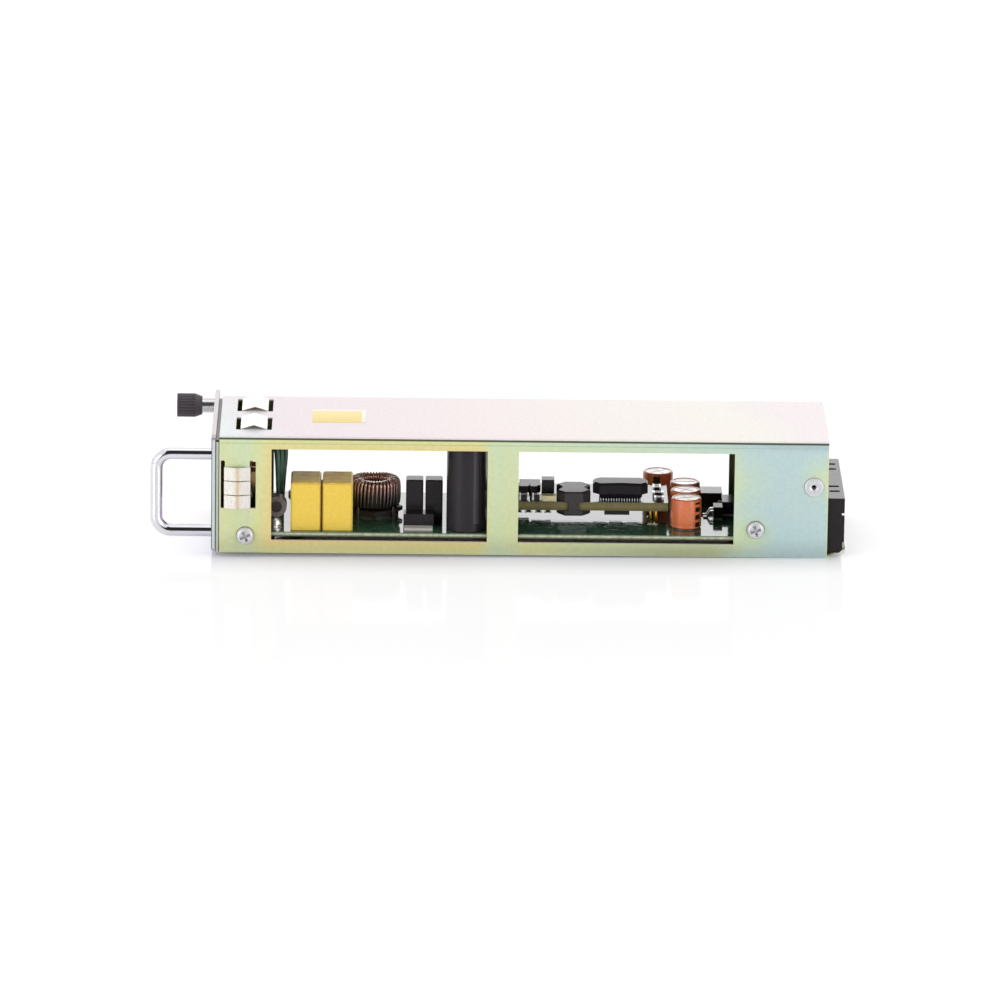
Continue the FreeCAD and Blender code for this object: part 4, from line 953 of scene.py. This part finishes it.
def makeChips():    # moulded bodies with bright ends, and what hangs below the converter's far edge
    look = dict(
        bevel=0.15 * mm, fineBevel=0.08 * mm, switchTall=3 * mm, split=0.58, gap=0.25 * mm,
        tallest=2.5 * mm, longest=5.0 * mm, proud=0.05 * mm, share=0.2, widest=0.7 * mm, below=0.1 * mm,
        hanging=(    # from, to, drop
            (101.2, 105.0, 1.5), (105.7, 112.4, 0.7), (126.5, 131.0, 0.3),
            (132.0, 136.5, 0.5), (137.5, 142.0, 0.3),
        ),
        hangingIn=sized(3, 0.3), cone=((0.0, -0.45), (0.15, -0.27), (0.6, -0.02)),
    )
    solder = metalFinish("solder", paint(226, 226, 224), 0.32, 1400.0, (1.0, 1.0, 1.0))
    bodies, ends = bmesh.new(), bmesh.new()
    for low, high in solidsOf("converter_chips"):
        long, tall = high.x - low.x, high.z - low.z
        if tall > look["switchTall"]:    # the two power switches side by side
            cut = low.x + long * look["split"]
            addBox(bodies, low, (cut - look["gap"], high.y, high.z), look["bevel"])
            addBox(bodies, (cut + look["gap"], low.y, low.z), high, look["bevel"])
            continue
        addBox(bodies, low, high, look["bevel"])
        if long > look["longest"] or tall > look["tallest"]:
            continue
        p = look["proud"]
        cap = min(long * look["share"], look["widest"])
        base, top = low.z, high.z + p
        if high.z < brickLow.z + look["below"]:
            base, top = low.z - p, high.z
        for x0, x1 in ((low.x - p, low.x + cap), (high.x - cap, high.x + p)):
            addBox(ends, (x0, low.y - p, base), (x1, high.y + p, top), look["fineBevel"])
    y0, y1 = (brickHigh.y - inset for inset in look["hangingIn"])
    for x0, x1, drop in look["hanging"]:
        addBox(bodies, (x0 * mm, y0, brickLow.z - drop * mm), (x1 * mm, y1, brickLow.z), look["fineBevel"])
    piece = meshPiece("converterParts", bodies, partBlack, smooth=False)
    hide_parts("converter_chips")
    meshPiece("chipEnds", ends, solder)
    cones = bmesh.new()
    for low, high in solidsOf("converter_pins"):
        centre, r = standing(low, high)
        addLathe(cones, stepped(boardHigh.z, r, look["cone"]), centre, steps=20)
    meshPiece("solderCones", cones, solder)


makeChips()


def makeShadeUnderChoke():    # a dark fill between the choke's base and the board, standing in for the shade under the choke
    look = dict(radius=7.6 * mm, top=8.55 * mm, edge=((-0.4, 0.3), (0, 0.6)))
    low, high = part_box("choke_base")
    finish = plasticFinish("chokeUnderShade", paint(88, 92, 86), 0.6, 700.0, 0.4, IOR=1.2)
    profile = [(boardHigh.z, 0.0), (boardHigh.z, look["radius"])]
    profile += stepped(look["top"], look["radius"], look["edge"]) + [(look["top"], 0.0)]
    turnedPiece("chokeShadeFill", profile, standing(low, high)[0], finish, steps=40)


makeShadeUnderChoke()


def makeLeads():    # three insulated leads: out of the inlet, up over the top and down to the board
    look = dict(
        radius=0.9 * mm, run=3.4 * mm, lean=2.4 * mm, waist=17.0 * mm,
        tops=sized(20.0, 21.9, 23.8), feet=sized(21.0, 21.35, 21.7), across=sized(10.4, 12.7, 15.0),
        shades=(paint(24, 56, 42), paint(64, 112, 90)), sheenSpan=(0.3, 0.7), rough=(0.1, 0.15),
    )
    finish = Finish("leadGreen")
    # light streaks along the leads: painted sheen
    streak = finish.noise(700.0, 3.0, (1.0, 1.0, 0.15))
    finish.tint(streak.between(*look["sheenSpan"]), *look["shades"])
    finish.roughen(streak, look["rough"])
    blades = sorted(solidsOf("inlet_blades"), key=lambda b: b[0].y)
    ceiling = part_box("input_leads")[1].z - look["radius"]
    pieces = []
    for (low, high), top, foot, across in zip(blades, look["tops"], look["feet"], look["across"]):
        tab = middleOf(low, high)
        tail, y = high.x, coverLow.y + across
        points = [
            (tail, tab.y, tab.z), (tail + look["run"], tab.y, tab.z),
            (tail + look["lean"], (y * 2 + tab.y) / 3, ceiling), (top, y, ceiling),
            (foot, y, look["waist"]), (foot, y, boardHigh.z),
        ]
        name = "inputLead%d" % (len(pieces) + 1)
        pieces.append(tubePiece(name, points, look["radius"], finish, 16))
    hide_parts("input_leads")


makeLeads()


def makeSpring():    # under the knob
    look = dict(turns=6, wire=0.2 * mm, steps=12, sides=8)
    low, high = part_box("screw_spring")
    spot = middleOf(low, high)
    r = (high.y - low.y) / 2 - look["wire"]
    points = []
    total = look["turns"] * look["steps"]
    run = high.x - low.x - 2 * look["wire"]
    for i in range(total + 1):
        angle = 2 * pi * i / look["steps"]
        along = low.x + look["wire"] + run * i / total
        points.append((along, spot.y + r * cos(angle), spot.z + r * sin(angle)))
    curve = tubePiece("springShape", points, look["wire"], springSteel, sides=look["sides"])
    mesh = bpy.data.meshes.new_from_object(curve.evaluated_get(bpy.context.evaluated_depsgraph_get()))
    bpy.data.objects.remove(curve)
    piece = finished(placed("screwSpring", mesh), springSteel)
    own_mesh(piece)
    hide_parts("screw_spring")


makeSpring()
print("solder, leads and spring made")


def makeFloor():
    look = dict(
        half=3.0, crest=12.65 * mm, gloss=1.18, lit=0.1, litAway=0.75, reach=22 * mm,
        colour=paint(252, 252, 252), near=paint(238, 237, 252), side=paint(238, 236, 237),
        flank=sized(140, 180),
    )
    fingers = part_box("bottom_fingers_near")[0].z
    slope = -fingers / (coverHigh.x - look["crest"])    # it rests on its bottom fingers and its rear end
    made = bmesh.new()
    half = look["half"]
    corners = [(-half, -half), (half, -half), (half, half), (-half, half)]
    made.faces.new([made.verts.new((x, y, fingers + (x - look["crest"]) * slope)) for x, y in corners])
    mesh = bpy.data.meshes.new("floor")
    made.to_mesh(mesh)
    made.free()
    floor = placed("floor", mesh)
    finish = Finish("floorWhite", Roughness=0.1, IOR=look["gloss"])
    x, y, z = finish.axes()
    dx = x.beyond((coverLow.x + coverHigh.x) / 2, (coverHigh.x - coverLow.x) / 2)
    dy = (y.size() - outside).atLeast(0.0)
    away = dx.reach(dy).between(0.0, look["reach"])
    gold = (y < 0.0) * x.fade(*look["flank"])    # painted bluer in front of the gold flank to offset its bounce light
    # painted shadow: the floor is painted darker and cooler near the case
    near = finish.mix(gold, look["side"], look["near"])
    finish.tint(away, near, look["colour"])
    seen = finish.node("ShaderNodeLightPath", out="Is Camera Ray")
    lit = finish.node("ShaderNodeEmission", sockets={"Color": (1.0, 1.0, 1.0, 1.0), "Strength": 1.0})
    plain = Wire(finish, finish.shader.outputs["BSDF"])
    # less of the camera's white glow near the case, so the shadow shows
    share = seen * (away * (look["litAway"] - look["lit"]) + look["lit"])
    both = finish.node("ShaderNodeMixShader", sockets={0: share, 1: plain, 2: lit})
    finish.link(finish.tree.nodes["Material Output"].inputs["Surface"], both)
    floor.data.materials.append(finish.material)


def makeWorld():    # white all round but for the dark room beyond the front of the table
    look = dict(top=0.88, half=0.32, soft=0.04, dark=0.03)
    world = bpy.data.worlds.new("studio")
    bpy.context.scene.world = world
    world.use_nodes = True
    sky = Maker(world.node_tree)
    background = sky.tree.nodes["Background"]
    x, y, z = sky.split(sky.node("ShaderNodeTexCoord", out="Generated"))
    top, half, soft = look["top"], look["half"], look["soft"]
    height = z.between(-soft, 0.0) * z.fade(top - soft, top + soft)
    room = height * (0.0 - y).between(0.0, soft) * x.size().fade(half - soft, half + soft)
    seen = sky.node("ShaderNodeLightPath", out="Is Camera Ray")
    sky.link(background.inputs["Color"], (1.0, 1.0, 1.0, 1.0))
    sky.link(background.inputs["Strength"], (1.0 - room * (1 - look["dark"])).atLeast(seen))


def makeLamp(name, place, target, size, power):
    lamp = bpy.data.lights.new(name, "AREA")
    lamp.shape = "RECTANGLE"
    lamp.size, lamp.size_y = size
    lamp.energy = power
    piece = placed(name, lamp)
    piece.location = place
    piece.rotation_euler = (Vector(target) - Vector(place)).to_track_quat("-Z", "Y").to_euler()


def makeCamera():
    look = dict(
        around=0.010872, above=0.266, roll=0.0131, distance=3.02986,
        lens=327.23, target=(0.09474, -0.02725, 0.01902),
    )
    az, el, roll = look["around"], look["above"], look["roll"]
    forward = Vector((sin(az) * cos(el), cos(az) * cos(el), -sin(el)))
    right = forward.cross(Vector((0, 0, 1))).normalized()
    up = right.cross(forward)
    across = right * cos(roll) + up * sin(roll)
    upright = up * cos(roll) - right * sin(roll)
    camera = bpy.data.cameras.new("camera")
    camera.sensor_width = 36.0
    camera.lens = look["lens"]
    camera.clip_end = 50.0
    piece = placed("camera", camera)
    turn = Matrix((across, upright, -forward)).transposed()
    spot = Vector(look["target"]) - forward * look["distance"]
    piece.matrix_world = Matrix.Translation(spot) @ turn.to_4x4()
    bpy.context.scene.camera = piece


makeFloor()
makeWorld()
makeLamp("keyTop", (0.1, 0.0, 1.3), (0.1, 0, 0), (1.4, 0.8), 1.5)
makeLamp("backGlow", (0.1, 1.7, 0.45), (0.1, 0, 0.02), (3.0, 0.7), 8.3)
makeLamp("fillLeft", (-0.95, -1.0, 0.35), (0.08, 0, 0), (0.7, 0.5), 5.0)
makeLamp("fillRight", (1.15, -1.0, 0.35), (0.12, 0, 0), (0.7, 0.5), 5.0)
makeCamera()
bpy.context.scene.view_settings.view_transform = "Standard"
print("floor, light and camera placed")
